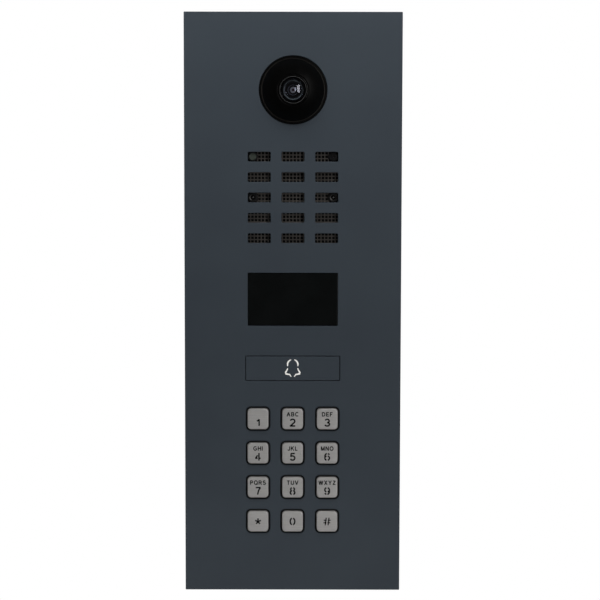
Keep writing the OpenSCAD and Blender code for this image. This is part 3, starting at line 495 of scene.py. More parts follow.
holes = [roundShape(bezel.x, bezel.z, plateSize["cameraHole"], 128)]
holes += [roundedShape(x, z, slots["width"], slots["height"], slots["corner"], 4) for x, z in slotPlaces]
holes.append(roundedShape(window.x, window.z, windowSize["width"] + 2 * windowSize["gap"],
                          windowSize["height"] + 2 * windowSize["gap"], windowSize["holeCorner"], 4))
holes.append(roundedShape(buttonCap.x, buttonCap.z, buttonCap.width + 2 * buttonSize["gap"],
                          buttonCap.height + 2 * buttonSize["gap"], buttonSize["holeCorner"], 4))
holes += [roundedShape(k.x, k.z, keySize["hole"], keySize["hole"], keySize["holeCorner"]) for k in keys]
part = Build()
part.sheet(plate.outline(plateSize["corner"], 4), holes, plate.back, plate.front, plateSize["edge"])
part.piece("frontPlate", "coated_steel", "front_plate")
print("front plate made")

# camera

dome = {"radius": 21.0, "foot": 17.4, "mouth": 8.4, "outer": 18.6, "rim": 0.4, "groove": 17.0,
        "edge": 16.9, "slant": 0.42, "round": 0.25, "wall": 2.0, "lip": 0.45, "lipRise": 0.12,
        "flange": 2.0}
mount = {"corner": 4.0, "screws": 19.5, "hole": 1.65, "posts": 13.0, "post": 2.3, "pilot": 1.05}
bezelBox = Extent("camera_bezel")
rim = plate.front + dome["rim"]
domeCentre = rim - sqrt(dome["radius"] ** 2 - dome["foot"] ** 2)
flangeBack = bezel.back - dome["flange"]
cavityR = dome["foot"] - dome["wall"]
profile = [(cavityR, flangeBack), (dome["outer"], flangeBack)]
profile += rimProfile(dome["outer"], rim, dome["round"])
profile += [(dome["groove"] + dome["slant"], rim), (dome["groove"], rim - dome["slant"]),
            (dome["edge"], rim - dome["slant"])]
footAngle = degrees(acos(dome["edge"] / dome["radius"]))
mouthAngle = degrees(acos((dome["mouth"] + dome["lip"]) / dome["radius"]))
profile += arcProfile(0, domeCentre, dome["radius"], footAngle, mouthAngle, 28)
lipOut = profile[-1][1]
profile += arcProfile(dome["mouth"] + dome["lip"], lipOut - dome["lip"] + dome["lipRise"],
                      dome["lip"], 80, 180, 6)
insideR = dome["radius"] - dome["wall"]
mouthInside = degrees(acos(dome["mouth"] / insideR))
profile += arcProfile(0, domeCentre, insideR, mouthInside, degrees(acos(cavityR / insideR)), 12)
profile.append((cavityR, flangeBack))
part = Build()
part.lathe(bezel.x, bezel.z, profile, 128)
quarters = [(sx, sz) for sx in (-1, 1) for sz in (-1, 1)]
part.sheet(bezelBox.outline(mount["corner"]),
           [roundShape(bezel.x, bezel.z, cavityR, 96)]
           + [roundShape(bezel.x + sx * mount["screws"], bezel.z + sz * mount["screws"],
                         mount["hole"], 24) for sx, sz in quarters], flangeBack, bezel.back, 0.2)
for sx, sz in quarters:
    part.lathe(bezel.x + sx * mount["posts"], bezel.z + sz * mount["posts"],
               [(mount["pilot"], bezelBox.back), (mount["post"], bezelBox.back),
                (mount["post"], flangeBack), (mount["pilot"], flangeBack),
                (mount["pilot"], bezelBox.back)], 32)
part.piece("cameraDome", "dome_black", "camera_bezel")

ring = Extent("lens_ring")
glassBox = Extent("front_lens")
barrel = Extent("lens_barrel")
ringSize = {"outer": 8.35, "bore": 7.05, "throat": 6.2, "foot": 9.65, "footHeight": 1.4, "seat": 1.0,
            "round": 0.3, "lip": 0.12}
seat = ring.back + ringSize["seat"]
part = Build()
profile = [(ringSize["throat"], ring.back), (ringSize["foot"], ring.back),
           (ringSize["foot"], ring.back + ringSize["footHeight"]),
           (ringSize["outer"], ring.back + ringSize["footHeight"])]
profile += rimProfile(ringSize["outer"], ring.front, ringSize["round"])
profile += arcProfile(ringSize["bore"] + ringSize["lip"], ring.front - ringSize["lip"], ringSize["lip"],
                      90, 180, 3)
profile += [(ringSize["bore"], seat), (ringSize["throat"], seat), (ringSize["throat"], ring.back)]
part.lathe(ring.x, ring.z, profile, 96)
part.piece("lensRing", "lens_black", "lens_ring")

lensSize = {"face": 10.5, "edge": 2.8, "hollow": 4.6, "sink": 0.4, "break": 0.15}
lensR = glassBox.width / 2
edgeOut = seat + lensSize["edge"]
faceCentre = edgeOut - sqrt(lensSize["face"] ** 2 - lensR ** 2)
hollowAngle = degrees(asin(lensSize["sink"] / lensSize["hollow"]))
part = Build()
profile = [(lensR - lensSize["break"], seat), (lensR, seat + lensSize["break"])]
edgeAngle = degrees(acos(lensR / lensSize["face"]))
profile += arcProfile(0, faceCentre, lensSize["face"], edgeAngle, 90, 20)
profile[-1] = (0, faceCentre + lensSize["face"])
part.lathe(glassBox.x, glassBox.z, profile)
profile = [(lensR - lensSize["break"], seat)]
profile += arcProfile(0, seat - lensSize["sink"], lensSize["hollow"], hollowAngle, 90, 16)
profile[-1] = (0, seat - lensSize["sink"] + lensSize["hollow"])
part.lathe(glassBox.x, glassBox.z, profile)
part.piece("frontLens", "lens_glass", "front_lens")

# the barrel's throat steps inwards, and each step has a bright turned edge
throat = {"steps": (4.1, 3.4, 2.7), "drop": 1.2, "pitch": 1.08, "lens": 2.1, "chamfer": 0.18, "hole": 1.6,
          "seat": 1.6}
barrelR = barrel.width / 2
profile = [(throat["hole"], barrel.back), (barrelR, barrel.back)]
profile += [(barrelR, seat - throat["chamfer"]), (barrelR - throat["chamfer"], seat)]
# its face is dished, so that it turns the lamps' light into crescents
dishSize = {"edge": 5.5, "cones": ((5.0, 1.0), (4.5, 0.33))}
profile.append((dishSize["edge"], seat))
for r, slope in dishSize["cones"]:
    level = profile[-1][1] - (profile[-1][0] - r) * slope
    profile.append((r, level))
for stepR in throat["steps"]:
    profile += [(stepR + throat["chamfer"], level), (stepR, level - throat["chamfer"]),
                (stepR, level - throat["drop"])]
    level -= throat["pitch"]
profile += [(throat["lens"], level), (throat["lens"], level - throat["seat"]),
            (throat["hole"], level - throat["seat"]), (throat["hole"], barrel.back)]
part = Build()
part.lathe(barrel.x, barrel.z, profile, 72)
part.piece("lensBarrel", "lens_black", "lens_barrel")
print("camera made")


# loudspeaker grille and what stands in it

clothSize = {"pitch": 1.95, "hole": 1.34, "thickness": 0.5, "gap": 0.02, "clear": 2.4}


def perforatedSheet(build, area, size, keepOut):
    # a square grid of square holes, left open where a device passes through
    pitch, half = size["pitch"], size["hole"] / 2
    back, front = area.front - size["thickness"], area.front - size["gap"]
    across, up = int(area.width / pitch), int(area.height / pitch)
    left, bottom = area.x - across * pitch / 2, area.z - up * pitch / 2
    grid = {}

    def corner(i, k, out):
        if (i, k, out) not in grid:
            grid[i, k, out] = build.mesh.verts.new(spot(left + i * pitch, bottom + k * pitch, out))
        return grid[i, k, out]

    for i in range(across):
        for k in range(up):
            x, z = left + (i + 0.5) * pitch, bottom + (k + 0.5) * pitch
            if min(hypot(x - dx, z - dz) for dx, dz in keepOut) < size["clear"]:
                continue
            inner = {}
            for out in (back, front):
                outer = [corner(i + di, k + dk, out) for di, dk in ((0, 0), (1, 0), (1, 1), (0, 1))]
                inner[out] = build.ring([(x + sx * half, z + sz * half)
                                         for sx, sz in ((-1, -1), (1, -1), (1, 1), (-1, 1))], out)
                build.skin(outer, inner[out])
            build.skin(inner[back], inner[front])


part = Build()
perforatedSheet(part, cloth, clothSize, list(deviceSpots.values()))
part.piece("grilleCloth", "metal_cloth", "grille_mesh")

collar = Extent("device_collars")
collarSize = {"outer": 2.55, "bore": 1.8, "lip": 0.22, "funnel": 0.25, "funnelDepth": 0.35}
part = Build()
for name in ("sensor", "ledLeft", "ledRight"):
    x, z = deviceSpots[name]
    profile = [(collarSize["bore"], collar.back), (collarSize["outer"], collar.back)]
    profile += rimProfile(collarSize["outer"], collar.front, collarSize["lip"], 4)
    profile += [(collarSize["bore"] + collarSize["funnel"], collar.front),
                (collarSize["bore"], collar.front - collarSize["funnelDepth"]),
                (collarSize["bore"], collar.back)]
    part.lathe(x, z, profile, 48)
part.piece("deviceCollars", "black_plastic", "device_collars")

boot = Extent("microphone_boot")
bootSize = {"pocket": 2.05, "pocketDepth": 1.8, "round": 0.4, "hole": 0.5, "flare": 0.25}
x, z = deviceSpots["microphone"]
profile = [(bootSize["pocket"], boot.back), (collarSize["outer"], boot.back)]
profile += rimProfile(collarSize["outer"], boot.front, bootSize["round"], 4)
profile += [(bootSize["hole"] + bootSize["flare"], boot.front),
            (bootSize["hole"], boot.front - bootSize["flare"]),
            (bootSize["hole"], boot.back + bootSize["pocketDepth"]),
            (bootSize["pocket"], boot.back + bootSize["pocketDepth"]), (bootSize["pocket"], boot.back)]
part = Build()
part.lathe(x, z, profile, 48)
part.piece("microphoneBoot", "rubber", "microphone_boot")

led = Extent("ir_leds")
ledSize = {"radius": 1.5, "flange": 1.7, "flangeHeight": 0.8, "slope": 0.1}
cupSize = {"bore": 1.52, "outer": 1.76, "foot": 1.0, "height": 1.1, "lip": 1.32, "lipHeight": 0.86,
           "boreHeight": 0.2}
part, cups = Build(), Build()
domeOut = led.front - ledSize["radius"]
for name in ("ledLeft", "ledRight"):
    x, z = deviceSpots[name]
    profile = [(0, led.back), (ledSize["flange"], led.back),
               (ledSize["flange"], led.back + ledSize["flangeHeight"] - ledSize["slope"]),
               (ledSize["radius"], led.back + ledSize["flangeHeight"])]
    profile += arcProfile(0, domeOut, ledSize["radius"], 0, 90, 10)
    profile[-1] = (0, led.front)
    part.lathe(x, z, profile, 48)
    # a bright cup round the resin
    cups.lathe(x, z, [(cupSize["bore"], led.back + cupSize["foot"]),
                      (cupSize["outer"], led.back + cupSize["foot"]),
                      (cupSize["outer"], domeOut + cupSize["height"]),
                      (cupSize["lip"], domeOut + cupSize["lipHeight"]),
                      (cupSize["bore"], domeOut + cupSize["boreHeight"]),
                      (cupSize["bore"], led.back + cupSize["foot"])], 48)
part.piece("ledDomes", "led_resin", "ir_leds")
cups.piece("ledCups", "zinc_steel", finish="led_cup")

sensor = Extent("light_sensor")
# the crown's points are radii and heights over the collar
sensorSize = {"stem": 1.7, "cap": 1.95, "lift": 0.02,
              "crown": ((1.95, 0.08), (1.85, 0.16), (1.2, 0.14), (1.05, 0.04), (0.4, 0.1), (0, 0.11))}
seatOut = collar.front + sensorSize["lift"]
x, z = deviceSpots["sensor"]
part = Build()
profile = [(0, sensor.back), (sensorSize["stem"], sensor.back), (sensorSize["stem"], seatOut),
           (sensorSize["cap"], seatOut)]
profile += [(r, seatOut + height) for r, height in sensorSize["crown"]]
part.lathe(x, z, profile, 48)
part.piece("lightSensor", "sensor_resin", "light_sensor")
print("grille made")

# display window

part = Build()
face = roundedShape(window.x, window.z, windowSize["width"], windowSize["height"], windowSize["corner"], 4)
lip = window.outline(windowSize["lipCorner"], 4)
front = plate.front - windowSize["recess"]
lipEdge, edge, middle = windowSize["lipEdge"], windowSize["edge"], windowSize["edgeMiddle"]
part.loft([(lip(-lipEdge), window.back), (lip(), window.back + lipEdge), (lip(), plate.back),
           (face(), plate.back), (face(), front - edge), (face(-middle), front - middle),
           (face(-edge), front)])
part.piece("displayWindow", "display_glass", "display_window")
print("display made")

# call button

bellSize = {"line": 1.0, "guideGap": 0.1, "taper": 0.4, "root": 0.2, "edge": 0.06, "baseCorner": 0.5}
bellCrown = arc(0, 2, 2.9, 2.9, 107, 196, 16)
bellSkirt = [(-2.75, 0.1), (-3.1, -0.95), (-3.95, -2.2), (-3.75, -3.1), (-2.7, -3.3), (-1.75, -3.45),
             (-0.85, -4.75)]


def bellLines(width):
    return [lineShape([(buttonCap.x + side * x, buttonCap.z + z) for x, z in route], width, bellSize["taper"])
            for route in (bellCrown, bellSkirt) for side in (1, -1)]


part = Build()
part.sheet(buttonCap.outline(buttonSize["corner"], 4), bellLines(bellSize["line"]),
           buttonCap.back, buttonCap.front, buttonSize["edge"])
part.piece("callButtonCap", "coated_steel", "call_button_cap", "call_button")

guide = Extent("bell_light_guide")
part = Build()
part.sheet(guide.outline(bellSize["baseCorner"]), [], guide.back, buttonCap.back)
for line in bellLines(bellSize["line"] - 2 * bellSize["guideGap"]):
    part.loft([(line(), buttonCap.back - bellSize["root"]), (line(), guide.front - bellSize["edge"]),
               (line(-bellSize["edge"]), guide.front)])
part.piece("bellLightGuide", "light_guide", "bell_light_guide", "call_button")

# wire springs, closed at both ends
springs = Extent("button_springs")
springSize = {"wire": 0.25, "turns": 6.0, "closed": 1.0, "stations": 180, "sides": 10}
travel = {j["name"]: (j["range_m"][1] - j["range_m"][0]) / mm for j in frame["joints"]}


def springWire(build, x, z, radius, back, front):
    rings = []
    for i in range(springSize["stations"] + 1):
        turn = springSize["turns"] * i / springSize["stations"]
        loose = springSize["turns"] - 2 * springSize["closed"]
        rise = min(max((turn - springSize["closed"]) / loose, 0), 1)
        a = tau * turn
        middle = spot(x + radius * cos(a), z + radius * sin(a),
                      back + springSize["wire"] + rise * (front - back - 2 * springSize["wire"]))
        outwards = spot(cos(a), sin(a), 0) * springSize["wire"]
        upwards = spot(0, 0, 1) * springSize["wire"]
        rings.append([build.mesh.verts.new(middle + outwards * cos(t) + upwards * sin(t))
                      for t in (tau * k / springSize["sides"] for k in range(springSize["sides"]))])
    for first, second in zip(rings, rings[1:]):
        build.skin(first, second)
    for end in (rings[0], rings[-1]):
        build.mesh.faces.new(end)


part = Build()
coilR = springs.height / 2 - springSize["wire"]
for side in (springs.left + springs.height / 2, springs.right - springs.height / 2):
    springWire(part, side, springs.z, coilR, springs.back, springs.front)
coils = part.piece("returnSprings", "zinc_steel", "button_springs")
length = springs.front - springs.back
spot(springs.x, springs.z, springs.back)
1 - travel["call_button_press"] / length
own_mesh(coils)
print("call button made")

# keys and their legends

keyForm = {"edge": 0.6, "edgeDepth": 0.48, "crown": 0.06, "skin": 1.0, "bore": 9.2, "boreCorner": 1.4,
           "flange": 1.0, "flangeEdge": 0.1, "steps": 7, "shoulder": 1.6, "flat": 3.2}
legendSize = {"digit": 4.6, "digitLine": 0.82, "hashLine": 0.62, "digitDrop": 2.0, "word": 2.5,
              "wordLine": 0.52, "wordGap": 0.36, "wordRise": 2.7, "depth": 0.1, "proud": 0.012}


# Each character is its width and its strokes, drawn in a box that is 1 high. The closed digits are
# split down the middle, as a stencil's are.
upright = [(0, -0.1), (0, 1.1)]
glyphs = {
    "0": (0.68, [arc(0.34, 0.5, 0.34, 0.5, 106, 254), arc(0.34, 0.5, 0.34, 0.5, -74, 74)]),
    "1": (0.34, [[(0, 0.72), (0.22, 0.82), (0.34, 1)], [(0.34, 1), (0.34, 0)]]),
    "2": (0.68, [arc(0.33, 0.71, 0.33, 0.29, 165, -38) + [(0.02, 0)], [(-0.08, 0), (0.72, 0)]]),
    "3": (0.66, [arc(0.31, 0.755, 0.3, 0.245, 160, -90), arc(0.31, 0.255, 0.35, 0.255, 90, -160)]),
    "4": (0.72, [[(0.5, 1.06), (0.5, -0.06)], [(0.3, 0.72), (0, 0.28)], [(-0.06, 0.28), (0.3, 0.28)],
                 [(0.5, 0.28), (0.74, 0.28)]]),
    "5": (0.66, [[(0.66, 1), (0.12, 1)], [(0.14, 1.06), (0.06, 0.5)],
                 arc(0.32, 0.32, 0.34, 0.32, 142, -155)]),
    "6": (0.68, [arc(0.34, 0.32, 0.34, 0.32, 74, -74), arc(0.34, 0.32, 0.34, 0.32, 106, 254),
                 arc(0.36, 0.58, 0.36, 0.42, 200, 100), arc(0.36, 0.72, 0.3, 0.28, 76, 18)]),
    "7": (0.68, [[(0, 1), (0.72, 1)], [(0.68, 1), (0.42, 0.55), (0.28, -0.05)]]),
    "8": (0.66, [arc(0.33, 0.75, 0.28, 0.25, 110, 250), arc(0.33, 0.75, 0.28, 0.25, -70, 70),
                 arc(0.33, 0.25, 0.34, 0.27, 110, 250), arc(0.33, 0.25, 0.34, 0.27, -70, 70)]),
    "*": (0, [[(0, 0), (0.46 * cos(a), 0.46 * sin(a))]
              for a in (radians(90 + 72 * i) for i in range(5))]),
    "#": (0.9, [[(0.34, 1.04), (0.2, -0.04)], [(0.74, 1.04), (0.6, -0.04)], [(0, 0.68), (0.4, 0.68)],
                [(0.58, 0.68), (0.94, 0.68)], [(-0.04, 0.32), (0.36, 0.32)], [(0.52, 0.32), (0.9, 0.32)]]),
    "A": (0.84, [[(0, -0.1), (0.4, 1.06)], [(0.84, -0.1), (0.44, 1.06)], [(0.16, 0.3), (0.68, 0.3)]]),
    "B": (0.66, [upright, [(0, 1)] + arc(0.34, 0.765, 0.26, 0.235, 90, -90) + [(0, 0.53)],
                 [(0, 0.53)] + arc(0.36, 0.265, 0.3, 0.265, 90, -90) + [(0, 0)]]),
    "C": (0.78, [arc(0.42, 0.5, 0.42, 0.52, 42, 318, 14)]),
    "D": (0.74, [upright, [(0, 1)] + arc(0.28, 0.5, 0.46, 0.5, 90, -90, 12) + [(0, 0)]]),
    "E": (0.62, [upright, [(0, 1), (0.66, 1)], [(0, 0.52), (0.6, 0.52)], [(0, 0), (0.68, 0)]]),
    "F": (0.56, [upright, [(0, 1), (0.62, 1)], [(0, 0.5), (0.52, 0.5)]]),
    "G": (0.82, [arc(0.42, 0.5, 0.42, 0.52, 42, 326, 14), [(0.46, 0.44), (0.88, 0.44)],
                 [(0.78, 0.5), (0.78, 0.1)]]),
    "H": (0.7, [upright, [(0.7, -0.1), (0.7, 1.1)], [(0, 0.52), (0.7, 0.52)]]),
    "I": (0, [upright]),
    "J": (0.5, [[(0.5, 1.1), (0.5, 0.28)] + arc(0.25, 0.26, 0.25, 0.28, 0, -170)]),
    "K": (0.72, [upright, [(0.68, 1.1), (0, 0.36)], [(0.26, 0.6), (0.74, -0.1)]]),
    "L": (0.56, [upright, [(0, 0), (0.6, 0)]]),
    "M": (0.84, [upright, [(0.84, -0.1), (0.84, 1.1)], [(0.03, 1.1), (0.42, -0.08)],
                 [(0.81, 1.1), (0.42, -0.08)]]),
    "N": (0.72, [upright, [(0.72, -0.1), (0.72, 1.1)], [(0.02, 1.08), (0.7, -0.08)]]),
    "O": (0.86, [arc(0.43, 0.5, 0.43, 0.53, 0, 180, 12), arc(0.43, 0.5, 0.43, 0.53, 180, 360, 12)]),
    "P": (0.64, [upright, [(0, 1)] + arc(0.34, 0.73, 0.3, 0.27, 90, -90) + [(0, 0.46)]]),
    "R": (0.72, [upright, [(0, 1)] + arc(0.36, 0.74, 0.3, 0.26, 90, -90) + [(0, 0.48)],
                 [(0.38, 0.48), (0.74, -0.1)]]),
    "S": (0.68, [arc(0.34, 0.76, 0.3, 0.26, 30, 255) + arc(0.34, 0.25, 0.34, 0.27, 85, -155)]),
    "T": (0.7, [[(-0.04, 1), (0.74, 1)], [(0.35, 1), (0.35, -0.1)]]),
    "U": (0.7, [[(0, 1.1)] + arc(0.35, 0.33, 0.35, 0.35, 180, 360, 12) + [(0.7, 1.1)]]),
    "V": (0.78, [[(0, 1.1), (0.37, -0.06)], [(0.78, 1.1), (0.41, -0.06)]]),
    "W": (1.14, [[(0, 1.1), (0.28, -0.08)], [(0.56, 1.1), (0.3, -0.08)], [(0.58, 1.1), (0.84, -0.08)],
                 [(1.14, 1.1), (0.86, -0.08)]]),
    "X": (0.74, [[(0, 1.1), (0.74, -0.1)], [(0.74, 1.1), (0, -0.1)]]),
    "Y": (0.76, [[(0, 1.1), (0.38, 0.42)], [(0.76, 1.1), (0.38, 0.42)], [(0.38, 0.5), (0.38, -0.1)]]),
    "Z": (0.68, [[(0, 1), (0.7, 1)], [(0.66, 1), (0.02, 0)], [(-0.02, 0), (0.72, 0)]]),
}
glyphs["9"] = (0.68, [[(0.68 - x, 1 - z) for x, z in stroke] for stroke in glyphs["6"][1]])
glyphs["Q"] = (0.86, glyphs["O"][1] + [[(0.52, 0.26), (0.9, -0.1)]])
legends = {"1": ("1", ""), "2": ("2", "ABC"), "3": ("3", "DEF"), "4": ("4", "GHI"), "5": ("5", "JKL"),
           "6": ("6", "MNO"), "7": ("7", "PQRS"), "8": ("8", "TUV"), "9": ("9", "WXYZ"),
           "star": ("*", ""), "0": ("0", ""), "hash": ("#", "")}


def addLine(build, words, height, line, gap, x, z, face):
    # a row of characters, centred on x and z and sunk into the face
    tall = height - line
    across = sum(glyphs[c][0] * tall + line for c in words) + gap * (len(words) - 1)
    at = x - across / 2 + line / 2
    for c in words:
        width, strokes = glyphs[c]
        low = z if c == "*" else z - tall / 2
        for stroke in strokes:
            shape = lineShape([(at + px * tall, low + pz * tall) for px, pz in stroke], line)
            build.loft([(shape(), face - legendSize["depth"]), (shape(), face + legendSize["proud"])])
        at += width * tall + line + gap


def keyShape(k, build):
    outer = roundedShape(k.x, k.z, keySize["width"], keySize["width"], keySize["corner"])
    foot = k.outline(keySize["corner"])
    bore = roundedShape(k.x, k.z, keyForm["bore"], keyForm["bore"], keyForm["boreCorner"])
    edge, crown, flangeEdge = keyForm["edge"], keyForm["crown"], keyForm["flangeEdge"]
    levels = [(bore(), k.back), (foot(-flangeEdge), k.back), (foot(), k.back + flangeEdge),
              (foot(), k.back + keyForm["flange"]), (outer(), k.back + keyForm["flange"])]
    for i in range(keyForm["steps"] + 1):
        a = pi / 2 * i / keyForm["steps"]
        levels.append((outer(-edge * (1 - cos(a))),
                       k.front - crown - keyForm["edgeDepth"] * (1 - sin(a))))
    levels.append((outer(-edge - keyForm["shoulder"]), k.front - crown / 4))
    levels.append((outer(-edge - keyForm["flat"]), k.front))
    rings = build.loft(levels, (False, True))
    inner = build.ring(bore(), k.front - keyForm["skin"])
    build.skin(rings[0], inner)
    build.cap(inner)


pip = {"x": 4.4, "z": -0.2, "radius": 0.5, "height": 0.5, "sunk": 0.1, "root": 0.2}
for name, k in zip(keyNames, keys):
    body = "key_" + name
    part = Build()
    keyShape(k, part)
    if name == "5":
        foot = k.front - pip["sunk"]
        profile = [(0, foot - pip["root"]), (pip["radius"], foot - pip["root"])]
        profile += arc(0, foot, pip["radius"], pip["height"], 0, 75, 5)
        profile.append((0, foot + pip["height"]))
        part.lathe(k.x + pip["x"], k.z + pip["z"], profile, 24)
    part.piece("key." + name, "stainless", body, body)
    sign, word = legends[name]
    drop = legendSize["digitDrop"] if word or sign == "1" else 0
    ink = Build()
    line = legendSize["hashLine"] if sign == "#" else legendSize["digitLine"]
    addLine(ink, sign, legendSize["digit"], line, 0, k.x, k.z - drop, k.front)
    if word:
        addLine(ink, word, legendSize["word"], legendSize["wordLine"], legendSize["wordGap"],
                k.x, k.z + legendSize["wordRise"], k.front)
    ink.piece("legend." + name, "stainless", body=body, finish="ink")

# the rubber mat: a sheet, and under each key a dome
mat = Extent("keypad_mat")
matSize = {"thickness": 1.2, "corner": 2.0, "edge": 0.2}
padSize = {"size": 8.6, "corner": 1.0, "break": 0.3, "foot": 0.5, "waist": 0.5, "waistHeight": 0.6,
           "top": 0.1, "shoulder": 0.4, "rim": 0.15, "face": 0.25}
matFront = mat.back + matSize["thickness"]
padShapes = [roundedShape(k.x, k.z, padSize["size"], padSize["size"], padSize["corner"]) for k in keys]
part = Build()
part.sheet(mat.outline(matSize["corner"]), padShapes, mat.back, matFront, matSize["edge"])
part.piece("keypadMat", "rubber", "keypad_mat")
waistOut = (mat.back + mat.front) / 2
for name, k, shape in zip(keyNames, keys, padShapes):
    part = Build()
    part.loft([(shape(-padSize["break"]), mat.back), (shape(), mat.back + padSize["break"]),
               (shape(), matFront + padSize["foot"]), (shape(-padSize["waist"]), waistOut),
               (shape(-padSize["waist"]), waistOut + padSize["waistHeight"]),
               (shape(-padSize["top"]), mat.front - padSize["shoulder"]),
               (shape(-padSize["top"]), mat.front - padSize["rim"]),
               (shape(-padSize["face"]), mat.front)])
    pad = part.piece("matDome." + name, "rubber", "keypad_mat")
    "key_" + name + "_press"
    spot(k.x, k.z, mat.back)
    1 - travel["key_" + name + "_press"] / (mat.front - mat.back)
    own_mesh(pad)
print("keys made")

# housing

housing = Extent("housing")
housingSize = {"wall": 1.5, "corner": 3.0, "edge": 0.8, "flange": 6.0, "openingCorner": 1.0,
               "frontEdge": 0.3, "openingEdge": 0.2}
outer = housing.outline(housingSize["corner"])
wall, edge = housingSize["wall"], housingSize["edge"]
inner = roundedShape(housing.x, housing.z, housing.width - 2 * wall, housing.height - 2 * wall,
                     housingSize["corner"] - wall / 2)
opening = roundedShape(housing.x, housing.z, housing.width - 2 * housingSize["flange"],
                       housing.height - 2 * housingSize["flange"], housingSize["openingCorner"])
frontEdge, openingEdge = housingSize["frontEdge"], housingSize["openingEdge"]
grommet = Extent("cable_grommet")
wallHole = {"x": 40.0, "z": 120.0, "radius": 2.75, "cable": 10.0}
wallHoles = [roundShape(sx * wallHole["x"], sz * wallHole["z"], wallHole["radius"], 40)
             for sx, sz in quarters]
wallHoles.append(roundShape(grommet.x, grommet.z, wallHole["cable"], 72))
part = Build()
levels = []
for i in range(5):
    a = pi / 2 * i / 4
    levels.append((outer(-edge * (1 - sin(a))), housing.back + edge * (1 - cos(a))))
levels += [(outer(), housing.front - frontEdge), (outer(-frontEdge), housing.front),
           (opening(openingEdge), housing.front), (opening(), housing.front - openingEdge),
           (opening(), housing.front - wall),
           (inner(), housing.front - wall), (inner(), housing.back + wall)]
rings = part.loft(levels, (False, False))
tubes = [part.loft([(hole(), housing.back), (hole(), housing.back + wall)], (False, False))
         for hole in wallHoles]
part.cap(rings[0], [t[0] for t in tubes])
part.cap(rings[-1], [t[1] for t in tubes])
case = part.piece("housingShell", "coated_steel", "housing")


def cutter(width, height, depth, x, z, out):
    # a plain body that is taken away from the housing and then removed; with no height it is round
    made = bmesh.new()
    if height:
        bmesh.ops.create_cube(made, size=1)
        bmesh.ops.scale(made, vec=(width * mm, height * mm, depth * mm), verts=made.verts)
    else:
        radius = width * mm / 2
        bmesh.ops.create_cone(made, cap_ends=True, segments=40, radius1=radius, radius2=radius,
                              depth=depth * mm)
    bmesh.ops.translate(made, vec=spot(x, z, out), verts=made.verts)
    data = bpy.data.meshes.new("cutter")
    made.to_mesh(data)
    made.free()
    return putInScene("cutter", data)


screws = Extent("security_screws")
underside = {"screwHead": 3.8, "screwHole": 4.6, "drainWidth": 12.0, "drainDepth": 2.0, "drainX": 14.0,
             "drainOut": 6.0, "cut": 8.0}
screwX = screws.right - underside["screwHead"]
screwOut = (screws.back + screws.front) / 2
cutters = []
for side in (-1, 1):
    cutters.append(cutter(underside["screwHole"], 0, underside["cut"],
                          side * screwX, housing.bottom, screwOut))
    cutters.append(cutter(underside["drainWidth"], underside["drainDepth"], underside["cut"],
                          side * underside["drainX"], housing.bottom, underside["drainOut"]))
for thing in cutters:
    cut = case.modifiers.new("cut", "BOOLEAN")
    cut.object, cut.operation, cut.solver = thing, "DIFFERENCE", "EXACT"
case.modifiers.move(0, len(case.modifiers) - 1)
shaped = bpy.data.meshes.new_from_object(case.evaluated_get(bpy.context.evaluated_depsgraph_get()))
case.modifiers.clear()
case.data = shaped
for thing in cutters:
    bpy.data.objects.remove(thing)
even = case.modifiers.new("evenShading", "WEIGHTED_NORMAL")
even.keep_sharp = True

part = Build()
grommetSize = {"cable": 3.0, "mouth": 0.4, "mouthFront": 0.3, "seat": 9.9, "taper": 0.5, "taperHeight": 0.3,
               "flange": 12.5, "flangeHeight": 1.8, "flangeRound": 0.5, "neck": 4.8, "neckRound": 0.6}
bore, seatR, neck = grommetSize["cable"], grommetSize["seat"], grommetSize["neck"]
mouth, neckRound = grommetSize["mouth"], grommetSize["neckRound"]
flangeOut = housing.back + wall + grommetSize["flangeHeight"]
profile = [(bore + mouth, grommet.back), (seatR - grommetSize["taper"], grommet.back),
           (seatR, grommet.back + grommetSize["taperHeight"]), (seatR, housing.back + wall),
           (grommetSize["flange"], housing.back + wall)]
profile += rimProfile(grommetSize["flange"], flangeOut, grommetSize["flangeRound"], 4)
profile += [(neck + neckRound, flangeOut), (neck, grommet.front - 2 * neckRound)]
profile += rimProfile(neck, grommet.front, neckRound, 4)
profile += [(bore + grommetSize["mouthFront"], grommet.front), (bore, grommet.front - mouth),
            (bore, grommet.back + mouth), (bore + mouth, grommet.back)]
part.lathe(grommet.x, grommet.z, profile, 72)
part.piece("cableGrommet", "rubber", "cable_grommet")
print("housing made")

# floor, lights and camera

studio = {"floorDrop": 0.9, "floorSize": 6.0}
floorData = bpy.data.meshes.new("floor")
half = studio["floorSize"] / 2
level = plate.bottom * mm - studio["floorDrop"]
corners = [(x * half, y * half, level) for x, y in ((-1, -1), (1, -1), (1, 1), (-1, 1))]
floorData.from_pydata(corners, [], [(0, 1, 2, 3)])
floor = putInScene("floor", floorData)
paint = Finish("floorPaint", roughness=0.9, emissionStrength=0.12)
paint.set("baseColor", paint.blend(paint.noise(900, 2.0), (0.93, 0.93, 0.93), (0.96, 0.96, 0.96)))
floorData.materials.append(paint.material)
floor.visible_glossy = False


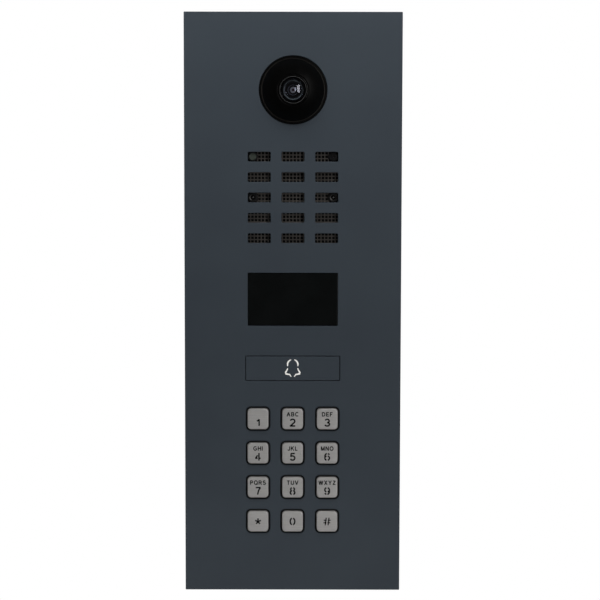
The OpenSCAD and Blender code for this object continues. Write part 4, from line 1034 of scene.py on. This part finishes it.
def softbox(name, direction, distance, size, power, mirrored=True):
    # an area lamp that looks at the middle of the plate; mirrored says whether shiny faces show it
    middle = spot(plate.x, plate.z, plate.front)
    lamp = bpy.data.lights.new(name, "AREA")
    lamp.shape, lamp.size, lamp.size_y = "RECTANGLE", size[0], size[1]
    lamp.energy = power
    made = putInScene(name, lamp)
    away = Vector(direction).normalized()
    made.location = middle + away * distance
    made.rotation_euler = away.to_track_quat("Z", "Y").to_euler()
    made.visible_glossy = mirrored


softbox("rightLight", (0.66, -1.0, 0.28), 1.2, (0.36, 0.95), 3.05)
softbox("topLight", (-0.2, -0.6, 0.9), 0.8, (0.6, 0.3), 0.7, mirrored=False)
softbox("leftWall", (-1.0, -0.2, 0.1), 1.0, (1.0, 1.4), 1.8, mirrored=False)
softbox("ceiling", (0.0, -0.45, 1.0), 0.42, (0.5, 0.12), 1.06, mirrored=False)
softbox("lowFill", (0.0, -0.5, -1.0), 0.2, (0.4, 0.08), 0.08, mirrored=False)

world = bpy.data.worlds.new("studio")
scene.world = world
world.use_nodes = True
world.node_tree.nodes.clear()
sky = NodeTree(world.node_tree)
# bright behind the panel and dark in front of it, and white where the camera sees it
glance = sky.node("TexCoord", {}, output=0)
facing = sky.node("SeparateXYZ", {}, [glance], output=1)
brightness = sky.node("MapRange", {}, [facing, 0.0, 0.4, 0.03, 0.9])
seen = sky.node("LightPath", {}, output=0)
backdrop = sky.node("Background", {}, [(1, 1, 1, 1), brightness.sum("MAXIMUM", seen)])
sky.node("OutputWorld", {}, [backdrop])

view = {"distance": 1.1, "pitch": 5.4, "roll": -0.1, "lens": 119.05, "aimX": 3.8, "aimZ": 2.6}
cameraData = bpy.data.cameras.new("camera")
cameraData.lens, cameraData.sensor_width = view["lens"], 36
viewer = putInScene("camera", cameraData)
pitch = radians(view["pitch"])
aim = spot(plate.x + view["aimX"], plate.z + view["aimZ"], plate.front)
viewer.location = aim + view["distance"] * Vector((0, -cos(pitch), sin(pitch)))
viewer.rotation_euler = (pi / 2 - pitch, radians(view["roll"]), 0)
scene.camera = viewer
scene.view_settings.view_transform = "Standard"
print("studio made")
